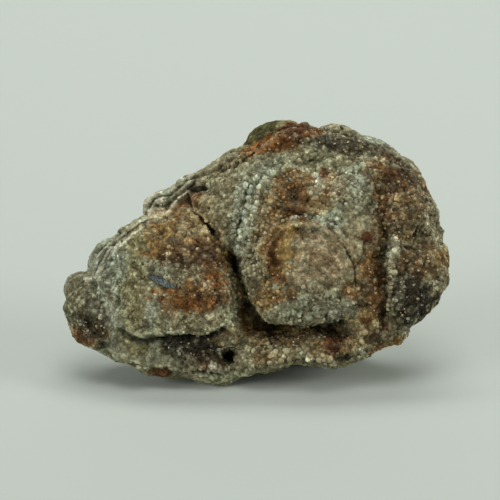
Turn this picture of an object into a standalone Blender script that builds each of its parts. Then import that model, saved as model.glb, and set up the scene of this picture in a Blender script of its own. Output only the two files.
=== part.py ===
"""A chalcedony rose: one stone of drusy chalcedony that stands on a small flat spot.

The stone is shaped in the frame of its face, in millimetres: u runs to the right, v up the face and
w out of it. It is then leaned back, set on its foot and scaled to metres.
"""

import math
from dataclasses import dataclass

import bmesh
import bpy
import numpy as np
from mathutils import Matrix, Vector, noise

# Driving sizes
MILLIMETRE = 0.001
FACE_LENGTH = 54.0
LEAN = math.radians(18)
FOOT_TRIM = 0.55
VOXEL = 0.36
TRIANGLES = 9600
FACE_THINNING = 0.3


@dataclass(frozen=True)
class Lobe:
    """A flattened growth of the stone, with a rounded rim, a crown in front and a belly behind."""

    name: str
    rim: tuple
    level: float
    crown: float
    belly: float
    flatness: float = 2.6
    slope: tuple = (0.0, 0.0)
    terraces: int = 0


@dataclass(frozen=True)
class Knob:
    """A round or oval lump: its place and radii in u, v and w, and its turn in the face's plane."""

    place: tuple
    radii: tuple
    turn: float = 0.0


# The rim of the whole face, clockwise from the narrow left end
FACE_RIM = (
    (-26.9, -7.2), (-26.2, -5.2), (-24.2, -3.9), (-23.0, -2.9), (-21.8, -0.9), (-20.3, 1.0),
    (-18.8, 2.7), (-16.5, 4.3), (-14.0, 5.4), (-12.0, 6.5), (-10.6, 8.2), (-8.6, 9.6),
    (-6.0, 11.1), (-3.6, 12.7), (-1.2, 14.9), (1.0, 16.8), (3.5, 17.9), (6.0, 18.3),
    (8.6, 18.0), (11.5, 17.0), (14.5, 16.3), (17.0, 15.3), (19.2, 14.2), (21.0, 12.4),
    (22.8, 10.9), (24.0, 9.0), (24.9, 6.8), (25.7, 4.5), (26.1, 2.0), (26.7, -0.5),
    (26.6, -3.2), (25.6, -5.8), (23.8, -8.4), (21.6, -10.3), (20.2, -12.2), (17.5, -13.4),
    (15.0, -14.6), (12.5, -15.4), (10.0, -16.1), (7.5, -15.9), (4.5, -15.6), (2.3, -16.4),
    (0.6, -17.0), (-1.8, -17.3), (-4.0, -18.1), (-6.0, -18.6), (-8.2, -18.3), (-10.5, -17.5),
    (-14.2, -17.1), (-17.0, -16.4), (-20.5, -15.0), (-23.6, -13.5), (-25.5, -11.8), (-26.5, -9.6),
)

LOBES = (
    Lobe("face_plate", FACE_RIM, level=-1.0, crown=1.9, belly=3.0),
    Lobe("left_tip", (
        (-26.8, -7.2), (-26.1, -5.3), (-24.2, -4.0), (-22.0, -4.0), (-20.0, -7.0), (-19.3, -10.0),
        (-19.3, -13.0), (-21.5, -14.3), (-23.8, -13.2), (-25.6, -11.6), (-26.6, -9.5),
    ), level=-0.7, crown=3.2, belly=3.0, flatness=2.2),
    Lobe("left_shoulder", (
        (-23.2, -3.2), (-22.0, -0.9), (-20.3, 1.0), (-18.6, 2.6), (-16.0, 2.8), (-13.5, -4.0),
        (-13.0, -12.0), (-15.5, -15.7), (-19.6, -14.4), (-20.5, -11.5), (-21.2, -8.5),
        (-21.9, -6.2), (-23.0, -4.6),
    ), level=0.7, crown=3.0, belly=3.0, flatness=2.6, slope=(0.06, -0.12)),
    Lobe("left_flank", (
        (-8.0, 2.0), (-4.6, 0.8), (-3.7, -1.5), (-2.9, -4.0), (-2.3, -5.5), (-2.1, -7.5),
        (-2.3, -9.6), (-2.5, -12.0), (-3.0, -13.4), (-5.5, -13.4), (-8.0, -12.9), (-12.0, -13.0),
        (-16.0, -12.8), (-18.0, -8.0), (-17.0, 0.0), (-13.0, 3.0),
    ), level=1.2, crown=3.2, belly=4.0, flatness=3.4, slope=(0.0, -0.06)),
    Lobe("left_petal", (
        (-19.2, -4.0), (-19.6, -1.5), (-19.8, 0.4), (-18.6, 2.4), (-16.5, 4.0), (-14.0, 5.3),
        (-12.2, 6.2), (-10.4, 6.8), (-8.9, 6.3), (-7.8, 4.8), (-6.4, 3.4), (-5.7, 2.1),
        (-4.8, 1.0), (-4.5, -1.0), (-3.9, -3.0), (-3.5, -5.0), (-3.8, -7.0), (-4.3, -8.6),
        (-5.3, -10.1), (-6.8, -11.0), (-9.0, -11.2), (-12.0, -10.9), (-15.0, -11.1),
        (-16.4, -11.4), (-18.0, -10.7), (-18.9, -9.2), (-19.2, -6.5),
    ), level=3.0, crown=2.7, belly=1.0, flatness=2.7, slope=(0.05, -0.17)),
    Lobe("petal_core", (
        (-15.3, -2.8), (-13.8, 1.6), (-11.0, 3.4), (-8.4, 2.0), (-6.2, -1.0), (-5.0, -4.5),
        (-5.8, -8.2), (-9.0, -9.0), (-12.5, -8.6), (-14.6, -6.8),
    ), level=4.4, crown=2.2, belly=2.0, flatness=2.2, slope=(0.03, -0.13), terraces=2),
    Lobe("upper_field", (
        (-12.4, 5.4), (-10.0, 8.4), (-7.0, 10.0), (-4.4, 11.6), (-2.0, 13.6), (0.8, 14.6),
        (3.0, 11.0), (2.0, 4.0), (0.5, -1.5), (-2.3, -2.6), (-3.6, -0.6), (-5.6, 0.4),
        (-7.0, 2.0), (-8.6, 3.4), (-10.4, 4.4),
    ), level=0.3, crown=3.6, belly=3.0, flatness=2.7, slope=(0.11, -0.06)),
    Lobe("main_lobe", (
        (-2.0, -1.0), (-2.3, 1.5), (-1.8, 4.0), (-1.2, 6.5), (-0.3, 9.0), (1.2, 11.5),
        (3.5, 13.3), (6.5, 14.2), (10.0, 14.2), (13.5, 13.6), (16.0, 12.6), (17.4, 10.3),
        (17.3, 8.0), (17.2, 5.5), (17.0, 3.0), (16.6, 0.5), (16.0, -2.0), (15.6, -4.5),
        (14.9, -7.0), (13.6, -9.1), (10.0, -9.1), (6.0, -9.6), (3.5, -9.7), (1.6, -9.6),
        (0.4, -8.8), (-0.5, -7.7), (-1.5, -6.6), (-2.0, -5.2), (-2.6, -4.0), (-2.8, -2.6),
    ), level=2.4, crown=3.9, belly=2.6, flatness=2.6, slope=(0.0, -0.12), terraces=3),
    Lobe("inner_dome", (
        (0.6, -0.5), (1.2, 2.0), (2.8, 3.6), (5.2, 4.4), (8.0, 4.1), (10.0, 3.1), (11.6, 1.5),
        (12.7, 0.0), (13.5, -1.8), (13.8, -3.5), (13.0, -5.2), (11.5, -6.0), (8.5, -6.2),
        (5.0, -5.8), (2.3, -4.8), (1.0, -3.0),
    ), level=4.5, crown=2.9, belly=2.0, flatness=2.1, slope=(0.0, -0.05), terraces=2),
    Lobe("dome_ledge", (
        (1.6, -5.0), (2.2, -8.6), (4.0, -9.7), (8.0, -9.8), (11.0, -9.3), (13.1, -8.8),
        (13.6, -6.5), (12.0, -4.0), (7.5, -3.0), (4.0, -3.5),
    ), level=4.9, crown=1.9, belly=1.5, flatness=3.6),
    Lobe("smooth_tongue", (
        (11.6, 2.0), (13.4, 2.6), (14.9, 1.2), (14.9, -1.6), (14.4, -4.6), (12.8, -5.0),
        (11.8, -1.5),
    ), level=4.2, crown=2.4, belly=2.0, flatness=2.4),
    Lobe("rust_hollow", (
        (12.6, -1.5), (15.5, 0.5), (18.0, 0.5), (19.0, -5.0), (18.6, -8.5), (19.2, -12.3),
        (14.0, -12.8), (11.5, -10.5), (12.0, -8.0), (12.4, -5.5),
    ), level=1.5, crown=2.9, belly=2.0, flatness=2.6),
    Lobe("right_rim", (
        (13.6, 13.4), (16.6, 15.2), (19.2, 14.0), (20.9, 12.3), (22.6, 10.7), (23.8, 8.9),
        (24.7, 6.8), (25.4, 4.5), (25.9, 2.6), (24.4, -0.5), (20.5, -1.8), (16.6, -2.2),
        (14.6, 0.0), (14.2, 5.0), (14.0, 10.0),
    ), level=0.0, crown=4.1, belly=3.0, flatness=2.5, slope=(-0.17, -0.02)),
    Lobe("rim_swelling", (
        (18.2, 2.2), (17.7, 5.0), (18.0, 8.4), (18.9, 11.2), (20.4, 11.4), (22.4, 9.4),
        (23.6, 6.4), (24.2, 3.4), (23.0, 1.9), (20.4, 1.5),
    ), level=1.6, crown=3.3, belly=2.0, flatness=2.1, slope=(-0.12, 0.0)),
    Lobe("lower_right_lobe", (
        (19.0, 1.6), (22.5, 1.7), (25.0, 1.6), (26.6, 0.2), (26.7, -2.5), (25.9, -5.0),
        (24.3, -7.5), (22.4, -9.4), (20.6, -10.4), (18.7, -10.2), (17.8, -9.0), (17.5, -7.0),
        (17.8, -5.0), (18.3, -3.0), (18.6, -1.0),
    ), level=0.6, crown=5.0, belly=3.0, flatness=2.5, slope=(-0.10, 0.0)),
    Lobe("bottom_shelf", (
        (-3.2, -11.8), (0.0, -11.0), (4.0, -10.9), (8.0, -10.8), (12.0, -10.4), (16.0, -9.6),
        (20.0, -9.3), (21.2, -10.6), (20.0, -12.3), (17.4, -13.3), (14.9, -14.5), (12.4, -15.3),
        (10.0, -16.0), (7.5, -15.8), (4.5, -15.5), (2.3, -16.3), (0.6, -16.9), (-1.8, -17.1),
        (-3.4, -16.0),
    ), level=-0.4, crown=4.2, belly=3.0, flatness=2.5, slope=(0.0, 0.05)),
    Lobe("lower_left", (
        (-20.0, -13.0), (-16.0, -11.0), (-11.0, -10.4), (-6.0, -11.0), (-4.8, -13.6),
        (-5.0, -15.4), (-3.4, -16.4), (-3.6, -17.6), (-6.0, -18.4), (-8.5, -18.1), (-11.0, -17.3),
        (-14.0, -17.0), (-17.5, -16.0),
    ), level=-0.8, crown=3.8, belly=3.0, flatness=2.4, slope=(0.0, 0.10)),
    Lobe("top_band", (
        (-4.0, 12.3), (-1.2, 14.7), (1.2, 16.6), (3.8, 17.6), (6.5, 17.9), (9.0, 17.6),
        (12.0, 16.7), (15.0, 15.8), (17.0, 14.8), (16.5, 10.6), (10.0, 9.6), (3.0, 10.0),
        (-1.0, 10.6),
    ), level=-0.4, crown=4.0, belly=3.0, flatness=2.4, slope=(0.0, -0.24)),
)

# The thick mass behind the face
BODY = Lobe("body", tuple((0.95 * u + 0.2, 0.94 * v) for u, v in FACE_RIM),
            level=-3.5, crown=3.2, belly=8.6, flatness=2.5)

# Scalloped growths of the back layer that show past the face's rim
REAR_LOBES = (
    Knob((-24.6, -5.6, -2.6), (2.6, 3.2, 1.6), 35),
    Knob((-21.9, -0.4, -2.8), (2.9, 1.7, 1.5), 55),
    Knob((-19.4, 1.9, -2.4), (2.2, 1.0, 1.2), 40),
    Knob((-13.9, 6.6, -2.2), (2.4, 1.9, 0.7), 35),
    Knob((-13.4, 6.4, -3.7), (2.9, 2.2, 0.8), 35),
    Knob((-13.0, 6.2, -5.2), (2.6, 2.0, 0.9), 35),
    Knob((-9.8, 9.6, -2.4), (2.6, 1.5, 0.7), 42),
    Knob((-9.6, 9.6, -3.9), (2.9, 1.6, 0.8), 42),
    Knob((-6.4, 11.2, -2.8), (2.8, 1.5, 1.3), 30),
    Knob((-3.2, 13.2, -3.0), (2.4, 1.4, 1.3), 25),
    Knob((3.2, 15.6, -2.8), (5.0, 3.2, 1.7), 8),
    Knob((11.2, 15.9, -2.6), (3.8, 2.4, 1.6), -8),
    Knob((16.6, 14.3, -2.8), (3.6, 1.9, 1.5), -28),
    Knob((21.2, 11.0, -3.0), (3.0, 1.8, 1.5), -48),
    Knob((23.9, 7.0, -2.8), (3.2, 1.3, 1.4), -65),
    Knob((26.0, 0.5, -1.6), (1.1, 1.2, 1.1)),
)

# Broad lumps under the back edge, that carry the stone together with its lower left lip
HEELS = (
    Knob((3.0, -6.0, -6.6), (18.0, 9.2, 6.2), -4),
    Knob((-7.0, -11.8, -6.4), (7.0, 4.6, 4.8)),
    Knob((1.0, -11.8, -8.0), (8.0, 4.6, 5.0)),
    Knob((9.5, -11.6, -9.2), (7.5, 4.4, 4.8)),
)

# Swellings of the smooth back, spread evenly over it
BACK_SWELLINGS = 15
BACK_CENTRE = Vector((1.0, -1.0))
BACK_SPREAD = Vector((18.5, 11.0))
BACK_DEPTH = -8.2

# Rows of beads on the face: the points each row passes, its bead radius and their spacing in radii
BEAD_ROWS = (
    (((-2.0, 9.2, 3.4), (-2.6, 6.6, 3.8), (-2.7, 4.0, 3.9), (-2.8, 1.4, 3.8)), 0.75, 1.8),
    (((0.9, 11.0, 4.0), (-0.1, 8.4, 4.8), (-0.8, 5.4, 5.1), (-1.2, 2.2, 5.3), (-1.5, -1.0, 5.4)), 0.75, 1.8),
    (((1.0, -2.6, 7.0), (0.9, 0.4, 6.8), (2.0, 3.0, 6.6), (4.9, 4.2, 6.6), (8.2, 3.9, 6.8),
      (11.0, 2.0, 6.9), (12.9, -0.6, 6.8)), 0.6, 1.8),
    (((19.3, 1.6, 4.9), (18.7, -0.2, 5.1), (18.6, -2.4, 5.2), (18.2, -5.0, 4.9), (18.0, -8.0, 4.4)), 0.7, 1.9),
    (((-1.0, -12.6, 2.9), (2.0, -12.7, 3.7), (6.0, -12.5, 3.9), (10.5, -12.5, 3.9)), 0.8, 2.0),
    (((-1.5, -15.4, 2.2), (1.5, -14.7, 3.0), (4.5, -14.2, 3.3), (9.0, -14.4, 3.3), (14.0, -13.2, 3.2)),
     0.85, 2.0),
    (((2.6, -8.8, 6.4), (5.0, -8.8, 6.6), (8.5, -8.6, 6.6), (12.8, -8.2, 6.5)), 0.85, 2.0),
    (((13.0, -10.0, 4.2), (15.2, -9.4, 4.4), (15.9, -6.4, 4.5), (15.8, -3.6, 4.6)), 0.85, 2.1),
)

# Thin raised lips along the edges of the growths, the same way
LIPS = (
    (((-22.9, -3.0, 2.4), (-21.4, -0.2, 2.6), (-19.0, 2.7, 2.6), (-16.0, 4.6, 2.6), (-12.8, 5.9, 2.6),
      (-10.6, 8.1, 1.8), (-9.4, 9.2, 1.4)), 0.5, 0.7),
    (((-18.9, -8.2, 5.0), (-18.2, -10.2, 4.9), (-16.7, -11.2, 4.8), (-13.5, -11.0, 5.0),
      (-10.0, -10.9, 5.1), (-7.0, -10.7, 5.1), (-5.2, -9.8, 5.1), (-4.0, -8.0, 5.0)), 0.5, 0.7),
    (((-3.2, 12.9, 2.0), (-0.8, 14.1, 2.4), (1.4, 14.8, 2.6)), 0.5, 0.8),
    (((-19.8, -14.1, 1.4), (-18.3, -14.8, 1.6), (-16.8, -15.4, 1.6)), 0.5, 0.8),
)

# Round spherules set in the face
SPHERULES = (
    Knob((15.3, 2.2, 5.4), (0.8, 0.8, 0.8)),
    Knob((10.6, -12.6, 4.2), (0.95, 0.95, 0.95)),
    Knob((-6.3, -16.1, 2.0), (0.9, 0.8, 0.8)),
    Knob((0.7, -6.4, 5.2), (1.5, 1.1, 1.0)),
)

# Grooves and cracks of the face: the points each passes, its half width and its depth
GROOVES = (
    (((-9.8, 8.9), (-8.4, 9.1), (-6.8, 9.7)), 0.55, 1.8),
    (((-8.7, 6.1), (-7.6, 4.7), (-6.2, 3.4), (-5.8, 2.2), (-4.8, 1.1), (-3.4, -0.4)), 0.45, 1.3),
    (((-3.5, -0.6), (-3.0, -2.4), (-2.2, -4.6), (-1.6, -6.6), (-1.7, -9.0)), 0.75, 3.2),
    (((-1.5, 8.6), (-1.9, 6.2), (-2.1, 4.8), (-2.2, 3.0), (-2.2, 0.8)), 0.35, 0.8),
    (((-23.0, -4.0), (-22.3, -5.1), (-21.3, -7.3), (-20.6, -9.6), (-19.8, -12.4)), 0.45, 0.4),
    (((-18.4, -0.8), (-17.2, -1.6), (-15.8, -2.9)), 0.4, 0.6),
    (((1.2, 14.5), (3.5, 14.7), (6.6, 14.7), (10.0, 14.7), (14.0, 14.1), (16.4, 13.4)), 0.5, 0.7),
    (((17.0, 10.0), (17.5, 7.0), (17.2, 4.6), (17.4, 2.4), (17.6, -1.2), (17.0, -4.5)), 0.6, 1.1),
    (((17.1, -4.5), (17.2, -7.5), (17.3, -10.2)), 0.6, 1.6),
    (((0.2, 2.4), (1.7, 4.2), (4.6, 5.3), (8.4, 5.0), (11.6, 3.0), (13.2, 1.2)), 0.45, 0.35),
    (((1.4, -5.6), (4.8, -6.8), (8.5, -7.0), (12.0, -6.8), (13.9, -5.6)), 0.35, 0.3),
    (((-1.6, -10.2), (2.0, -10.4), (6.0, -10.6), (9.0, -10.4), (12.4, -10.4)), 0.75, 3.0),
    (((-1.9, -8.0), (-0.2, -9.9)), 0.9, 2.4),
)

# Pits of the face: place, radii and depth
PITS = (
    ((-4.2, -14.1), (1.2, 1.5), 4.2),
    ((-9.5, 7.5), (0.8, 0.9), 1.4),
    ((-12.6, 6.7), (0.5, 0.7), 1.0),
    ((-14.6, -3.5), (1.5, 0.5), 0.7),
    ((-4.3, -0.8), (1.1, 1.2), 1.6),
    ((12.4, -14.4), (0.9, 0.7), 1.2),
    ((5.1, 8.0), (1.5, 1.7), 0.5),
)

# Lumps and finer grain of the face, broad swells all over, and growth lines round the back
LUMP = 2.8
LUMP_HEIGHT = 1.0
GRAIN = 1.5
GRAIN_HEIGHT = 0.5
SWELL = 6.5
SWELL_HEIGHT = 0.5
GROWTH_STEP = 1.7
GROWTH_HEIGHT = 0.2
TERRACE_HEIGHT = 0.3
BEHIND = -1.4


def smooth_ring(points, per_span=8):
    """Points of a closed curve that passes smoothly through the given ones."""
    ring = np.array(points, float)
    before, after, beyond = np.roll(ring, 1, 0), np.roll(ring, -1, 0), np.roll(ring, -2, 0)
    steps = np.linspace(0, 1, per_span, endpoint=False)[:, None, None]
    curve = 0.5 * (
        2 * ring + (after - before) * steps
        + (2 * before - 5 * ring + 4 * after - beyond) * steps**2
        + (3 * ring - before - 3 * after + beyond) * steps**3
    )
    return curve.transpose(1, 0, 2).reshape(-1, ring.shape[1])


def reach_by_angle(rim, centre):
    """Angles round a centre, and how far the rim lies from it at each."""
    away = smooth_ring(rim) - centre
    angles = np.arctan2(away[:, 1], away[:, 0])
    order = np.argsort(angles)
    return angles[order], np.hypot(away[:, 0], away[:, 1])[order]


def unit_ball():
    """A ball of radius one, that the lobes and lumps are shaped from."""
    bm = bmesh.new()
    bmesh.ops.create_uvsphere(bm, u_segments=144, v_segments=48, radius=1)
    ball = bpy.data.meshes.new("unit_ball")
    bm.to_mesh(ball)
    bm.free()
    return ball


def corners_of(mesh):
    """The places of a mesh's corners."""
    places = np.zeros(3 * len(mesh.vertices))
    mesh.vertices.foreach_get("co", places)
    return places.reshape(-1, 3)


def add_shaped(bm, ball, places):
    """Adds the ball with its corners moved to new places."""
    shaped = ball.copy()
    shaped.vertices.foreach_set("co", places.ravel())
    bm.from_mesh(shaped)
    bpy.data.meshes.remove(shaped)


def add_lobe(bm, ball, lobe):
    """Adds the ball, drawn out to the lobe's rim and to its crown and belly."""
    centre = np.array(lobe.rim).mean(0)
    angles, reach = reach_by_angle(lobe.rim, centre)
    x, y, z = corners_of(ball).T
    angle = np.arctan2(y, x)
    spread = np.clip(np.hypot(x, y), 0, 1) ** (2 / lobe.flatness)
    height = np.abs(z) ** (2 / lobe.flatness)
    away = (spread * np.interp(angle, angles, reach, period=math.tau))[:, None]
    away = away * np.stack([np.cos(angle), np.sin(angle)], axis=1)
    rise = np.where(z > 0, lobe.crown, -lobe.belly) * height
    if lobe.terraces:
        rise += TERRACE_HEIGHT * (z > 0) * spread * np.cos(math.tau * lobe.terraces * spread)
    level = lobe.level + away @ np.array(lobe.slope)
    add_shaped(bm, ball, np.column_stack([centre + away, level + rise]))


def add_knob(bm, ball, knob):
    """Adds the ball as an oval lump."""
    matrix = (
        Matrix.Translation(knob.place)
        @ Matrix.Rotation(math.radians(knob.turn), 4, "Z")
        @ Matrix.Diagonal((*knob.radii, 1))
    )
    turned = np.array(matrix.to_3x3())
    add_shaped(bm, ball, corners_of(ball) @ turned.T + np.array(knob.place))


def add_bead_row(bm, ball, route, radius, spacing):
    """Adds beads along a route, a little larger and smaller by turns."""
    stops = [Vector(point) for point in route]
    count = 0
    for start, end in zip(stops, stops[1:]):
        steps = max(1, round((end - start).length / (spacing * radius)))
        for step in range(steps):
            size = radius * (1 + 0.22 * math.sin(2.3 * count))
            place = start.lerp(end, step / steps)
            place.x += 0.35 * radius * math.sin(1.7 * count)
            add_knob(bm, ball, Knob(tuple(place), (size, size, size)))
            count += 1


def add_back(bm, ball):
    """Adds swellings over the back, on the spiral that spreads them evenly."""
    golden_angle = math.pi * (3 - math.sqrt(5))
    for number in range(BACK_SWELLINGS):
        share = math.sqrt((number + 0.5) / BACK_SWELLINGS)
        angle = number * golden_angle
        size = 5.2 - 1.5 * share + 0.7 * math.sin(3.1 * number)
        place = (
            BACK_CENTRE.x + BACK_SPREAD.x * share * math.cos(angle),
            BACK_CENTRE.y + BACK_SPREAD.y * share * math.sin(angle),
            BACK_DEPTH + 3.4 * share**2,
        )
        add_knob(bm, ball, Knob(place, (size, 0.85 * size, 0.75 * size), 40 * number))


def object_from(bm, name, collection):
    """A new object that holds the shape, in a collection."""
    mesh = bpy.data.meshes.new(name)
    bm.to_mesh(mesh)
    bm.free()
    made = bpy.data.objects.new(name, mesh)
    collection.objects.link(made)
    return made


def bake(obj):
    """Replaces an object's mesh by its evaluated one, and removes its modifiers."""
    graph = bpy.context.evaluated_depsgraph_get()
    mesh = bpy.data.meshes.new_from_object(obj.evaluated_get(graph))
    obj.modifiers.clear()
    old, obj.data = obj.data, mesh
    bpy.data.meshes.remove(old)


def fuse(obj):
    """Melts overlapping shapes into one skin of even quads."""
    remesh = obj.modifiers.new("fuse", "REMESH")
    remesh.mode = "VOXEL"
    remesh.voxel_size = VOXEL
    bake(obj)


def distance_to_route(points, route):
    """Distance of each point of the face from a route of straight runs."""
    nearest = np.full(len(points), np.inf)
    stops = np.array(route, float)
    for start, end in zip(stops, stops[1:]):
        run = end - start
        along = np.clip((points - start) @ run / (run @ run), 0, 1)
        nearest = np.minimum(nearest, np.linalg.norm(points - start - along[:, None] * run, axis=1))
    return nearest


def carved_depth(points):
    """How deep the grooves and pits go at each point of the face."""
    depth = np.zeros(len(points))
    for route, half_width, deepest in GROOVES:
        across = distance_to_route(points, route) / half_width
        depth = np.maximum(depth, deepest * np.exp(-across**2))
    for place, radii, deepest in PITS:
        across = np.linalg.norm((points - np.array(place)) / np.array(radii), axis=1)
        depth = np.maximum(depth, deepest * np.clip(1.15 - across**2, 0, 1))
    return depth


def lumps(point, size):
    """Height of the rounded lumps at a point, between about -0.5 and 0.5."""
    return 0.5 - noise.voronoi(point / size)[0][0]


def sculpt(obj):
    """Carves the face, then raises the lumps and growth lines of the whole surface."""
    mesh = obj.data
    places = corners_of(mesh)
    normals = np.zeros(3 * len(places))
    mesh.vertices.foreach_get("normal", normals)
    normals = normals.reshape(-1, 3)
    rise = np.zeros(len(places))
    for index, place in enumerate(places):
        point = Vector(place)
        swell = noise.fractal(point / SWELL, 1.0, 2.0, 3)
        rise[index] = SWELL_HEIGHT * swell
        if point.z < BEHIND:
            rise[index] += GROWTH_HEIGHT * math.sin(math.tau * (point.z + swell) / GROWTH_STEP)
        else:
            rise[index] += LUMP_HEIGHT * lumps(point, LUMP) + GRAIN_HEIGHT * lumps(point, GRAIN)
    facing = np.clip((normals[:, 2] + 0.15) / 0.6, 0, 1) * (places[:, 2] > BEHIND)
    depth = facing * carved_depth(places[:, :2])
    places += normals * rise[:, None]
    places[:, 2] -= depth
    mesh.vertices.foreach_set("co", places.ravel())
    mesh.update()


def face_to_world():
    """Leans the face back and turns millimetres into metres."""
    axes = Matrix((
        (1, 0, 0, 0),
        (0, math.sin(LEAN), -math.cos(LEAN), 0),
        (0, math.cos(LEAN), math.sin(LEAN), 0),
        (0, 0, 0, 1),
    ))
    return Matrix.Scale(MILLIMETRE, 4) @ axes


def box_of(obj):
    """Lowest and highest corner of an object's mesh."""
    corners = np.array([vert.co for vert in obj.data.vertices])
    return corners.min(0), corners.max(0)


def set_on_foot(obj, cutters):
    """Trims the lowest bumps to one level, as a foot, and puts the origin under the middle."""
    low, high = box_of(obj)
    level = low[2] + FOOT_TRIM * MILLIMETRE
    side = 2 * FACE_LENGTH * MILLIMETRE
    bm = bmesh.new()
    bmesh.ops.create_cube(bm, size=side, matrix=Matrix.Translation((0, 0, level - side / 2)))
    ground = object_from(bm, "ground_cutter", cutters)
    ground.hide_render = True
    ground.display_type = "WIRE"
    trim = obj.modifiers.new("foot", "BOOLEAN")
    trim.operation = "DIFFERENCE"
    trim.object = ground
    bake(obj)
    low, high = box_of(obj)
    middle = (low + high) / 2
    obj.data.transform(Matrix.Translation((-middle[0], -middle[1], -low[2])))


def thin_out(obj):
    """Brings the mesh down to the triangles that the form needs, and the plain back to fewer."""
    group = obj.vertex_groups.new(name="plain_back")
    for vert in obj.data.vertices:
        plain = min(1.0, max(0.0, (BEHIND - vert.co.z) / 3))
        group.add([vert.index], FACE_THINNING + (1 - FACE_THINNING) * plain, "REPLACE")
    obj.data.calc_loop_triangles()
    decimate = obj.modifiers.new("thin_out", "DECIMATE")
    decimate.ratio = TRIANGLES / len(obj.data.loop_triangles)
    decimate.use_collapse_triangulate = True
    decimate.vertex_group = group.name
    bake(obj)
    obj.vertex_groups.clear()


def stone_material():
    """Grey-brown drusy chalcedony, a little glossy."""
    material = bpy.data.materials.new("drusy_chalcedony")
    material.use_nodes = True
    shader = material.node_tree.nodes["Principled BSDF"]
    shader.inputs["Base Color"].default_value = (0.23, 0.19, 0.14, 1)
    shader.inputs["Roughness"].default_value = 0.5
    shader.inputs["Metallic"].default_value = 0.0
    return material


def main():
    """Builds the stone."""
    for old in list(bpy.data.objects):
        bpy.data.objects.remove(old)
    parts = bpy.data.collections.new("chalcedony_rose")
    cutters = bpy.data.collections.new("cutters")
    bpy.context.scene.collection.children.link(parts)
    bpy.context.scene.collection.children.link(cutters)
    bm = bmesh.new()
    ball = unit_ball()
    for lobe in (BODY, *LOBES):
        add_lobe(bm, ball, lobe)
    for knob in (*REAR_LOBES, *HEELS, *SPHERULES):
        add_knob(bm, ball, knob)
    for route, radius, spacing in (*BEAD_ROWS, *LIPS):
        add_bead_row(bm, ball, route, radius, spacing)
    add_back(bm, ball)
    stone = object_from(bm, "chalcedony_rose", parts)
    fuse(stone)
    sculpt(stone)
    fuse(stone)
    thin_out(stone)
    stone.data.transform(face_to_world())
    set_on_foot(stone, cutters)
    stone.data.materials.append(stone_material())
    stone.data.shade_smooth()
    stone.data.set_sharp_from_angle(angle=math.radians(40))


main()
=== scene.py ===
"""The visual model of a chalcedony rose: a leaning stone of grown lobes under a coat of fine druse.

Places on the stone are given in the frame of its face, in millimetres: u runs to the right, v up the
face and w out of it. The stone leans back on its foot, so that frame is turned from the row frame.
"""

import logging
import math
from dataclasses import dataclass, field
from enum import Enum
from itertools import pairwise

import bmesh
import bpy
import numpy as np
from bpy.types import Material, Mesh, Node, NodeTree, Object
from bpy.types import NodeSocket as Socket
from bpy.types import bpy_prop_collection as Sockets
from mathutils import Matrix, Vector, noise
from mathutils.bvhtree import BVHTree


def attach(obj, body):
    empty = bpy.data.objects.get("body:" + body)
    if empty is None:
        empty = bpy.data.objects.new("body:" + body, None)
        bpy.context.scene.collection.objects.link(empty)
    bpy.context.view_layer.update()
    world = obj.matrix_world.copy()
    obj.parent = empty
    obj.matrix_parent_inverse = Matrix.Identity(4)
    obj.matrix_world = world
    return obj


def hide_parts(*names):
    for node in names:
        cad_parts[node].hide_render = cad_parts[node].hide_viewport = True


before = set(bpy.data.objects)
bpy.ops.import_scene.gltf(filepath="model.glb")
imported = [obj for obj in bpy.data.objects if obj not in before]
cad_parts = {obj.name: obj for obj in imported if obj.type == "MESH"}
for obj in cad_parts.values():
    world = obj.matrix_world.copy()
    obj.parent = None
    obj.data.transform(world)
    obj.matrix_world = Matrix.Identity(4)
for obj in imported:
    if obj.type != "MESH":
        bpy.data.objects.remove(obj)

LOG = logging.getLogger("chalcedony_rose")
MILLIMETRE = 0.001
NODE = "chalcedony_rose"

Route = tuple[tuple[float, float], ...]
Triple = tuple[float, float, float]
Array = np.ndarray

# What a grain's tone, from 0 to 1, does to the stone's colour: dull and rusty, plain, or clear and pale
TONE_STOPS = (0.0, 0.2, 0.5, 0.8, 1.0)
TONE_FACTORS = (
    (0.40, 0.35, 0.27), (0.66, 0.61, 0.53), (0.97, 0.96, 0.94), (1.34, 1.36, 1.34), (1.72, 1.78, 1.76),
)
SPECK = (0.58, 0.56, 0.41)
# Brown of the gaps between lumps and cells: partly the stone's own seams, partly painted shade in those
# creases
SEAM_AND_GAP_SHADE = (0.046, 0.037, 0.022)
GLINT_TINT = (0.90, 0.78, 0.52)

# How far past its radii a patch reaches, how soft its edge is and how far noise breaks that edge
PATCH_REACH, PATCH_SOFTNESS, PATCH_RAGGEDNESS = 1.28, 0.5, 0.3


class Tint(Enum):
    """Colours of the stone and of its stains, as linear red, green and blue."""

    CREAM = (0.35, 0.325, 0.205)
    PALE_GREEN = (0.40, 0.41, 0.26)
    BLUE_GREY = (0.36, 0.405, 0.315)
    GREY = (0.26, 0.27, 0.185)
    SLATE = (0.14, 0.145, 0.11)
    OLIVE = (0.285, 0.265, 0.125)
    MOSS = (0.075, 0.077, 0.026)
    TAN = (0.34, 0.28, 0.155)
    PINK_TAN = (0.365, 0.28, 0.165)
    PEACH = (0.62, 0.49, 0.27)
    HONEY = (0.35, 0.235, 0.085)
    AMBER = (0.345, 0.22, 0.075)
    BROWN = (0.225, 0.15, 0.065)
    ORANGE_BROWN = (0.24, 0.122, 0.038)
    ORANGE = (0.26, 0.097, 0.017)
    RUST = (0.135, 0.055, 0.014)
    RED_BROWN = (0.12, 0.034, 0.010)
    DARK_BROWN = (0.054, 0.041, 0.021)
    BLACK = (0.012, 0.013, 0.010)
    NAVY = (0.03, 0.042, 0.045)
    WHITE = (0.66, 0.66, 0.51)

    @property
    def linear(self) -> Array:
        """The colour as an array."""
        return np.array(self.value)


class Coat(Enum):
    """The growths that coat the skin, each with its own mask on it."""

    COARSE = "coarse_coat"
    MEDIUM = "medium_coat"
    FINE = "fine_coat"
    SMOOTH = "smooth_coat"
    POINTS = "point_coat"


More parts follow.
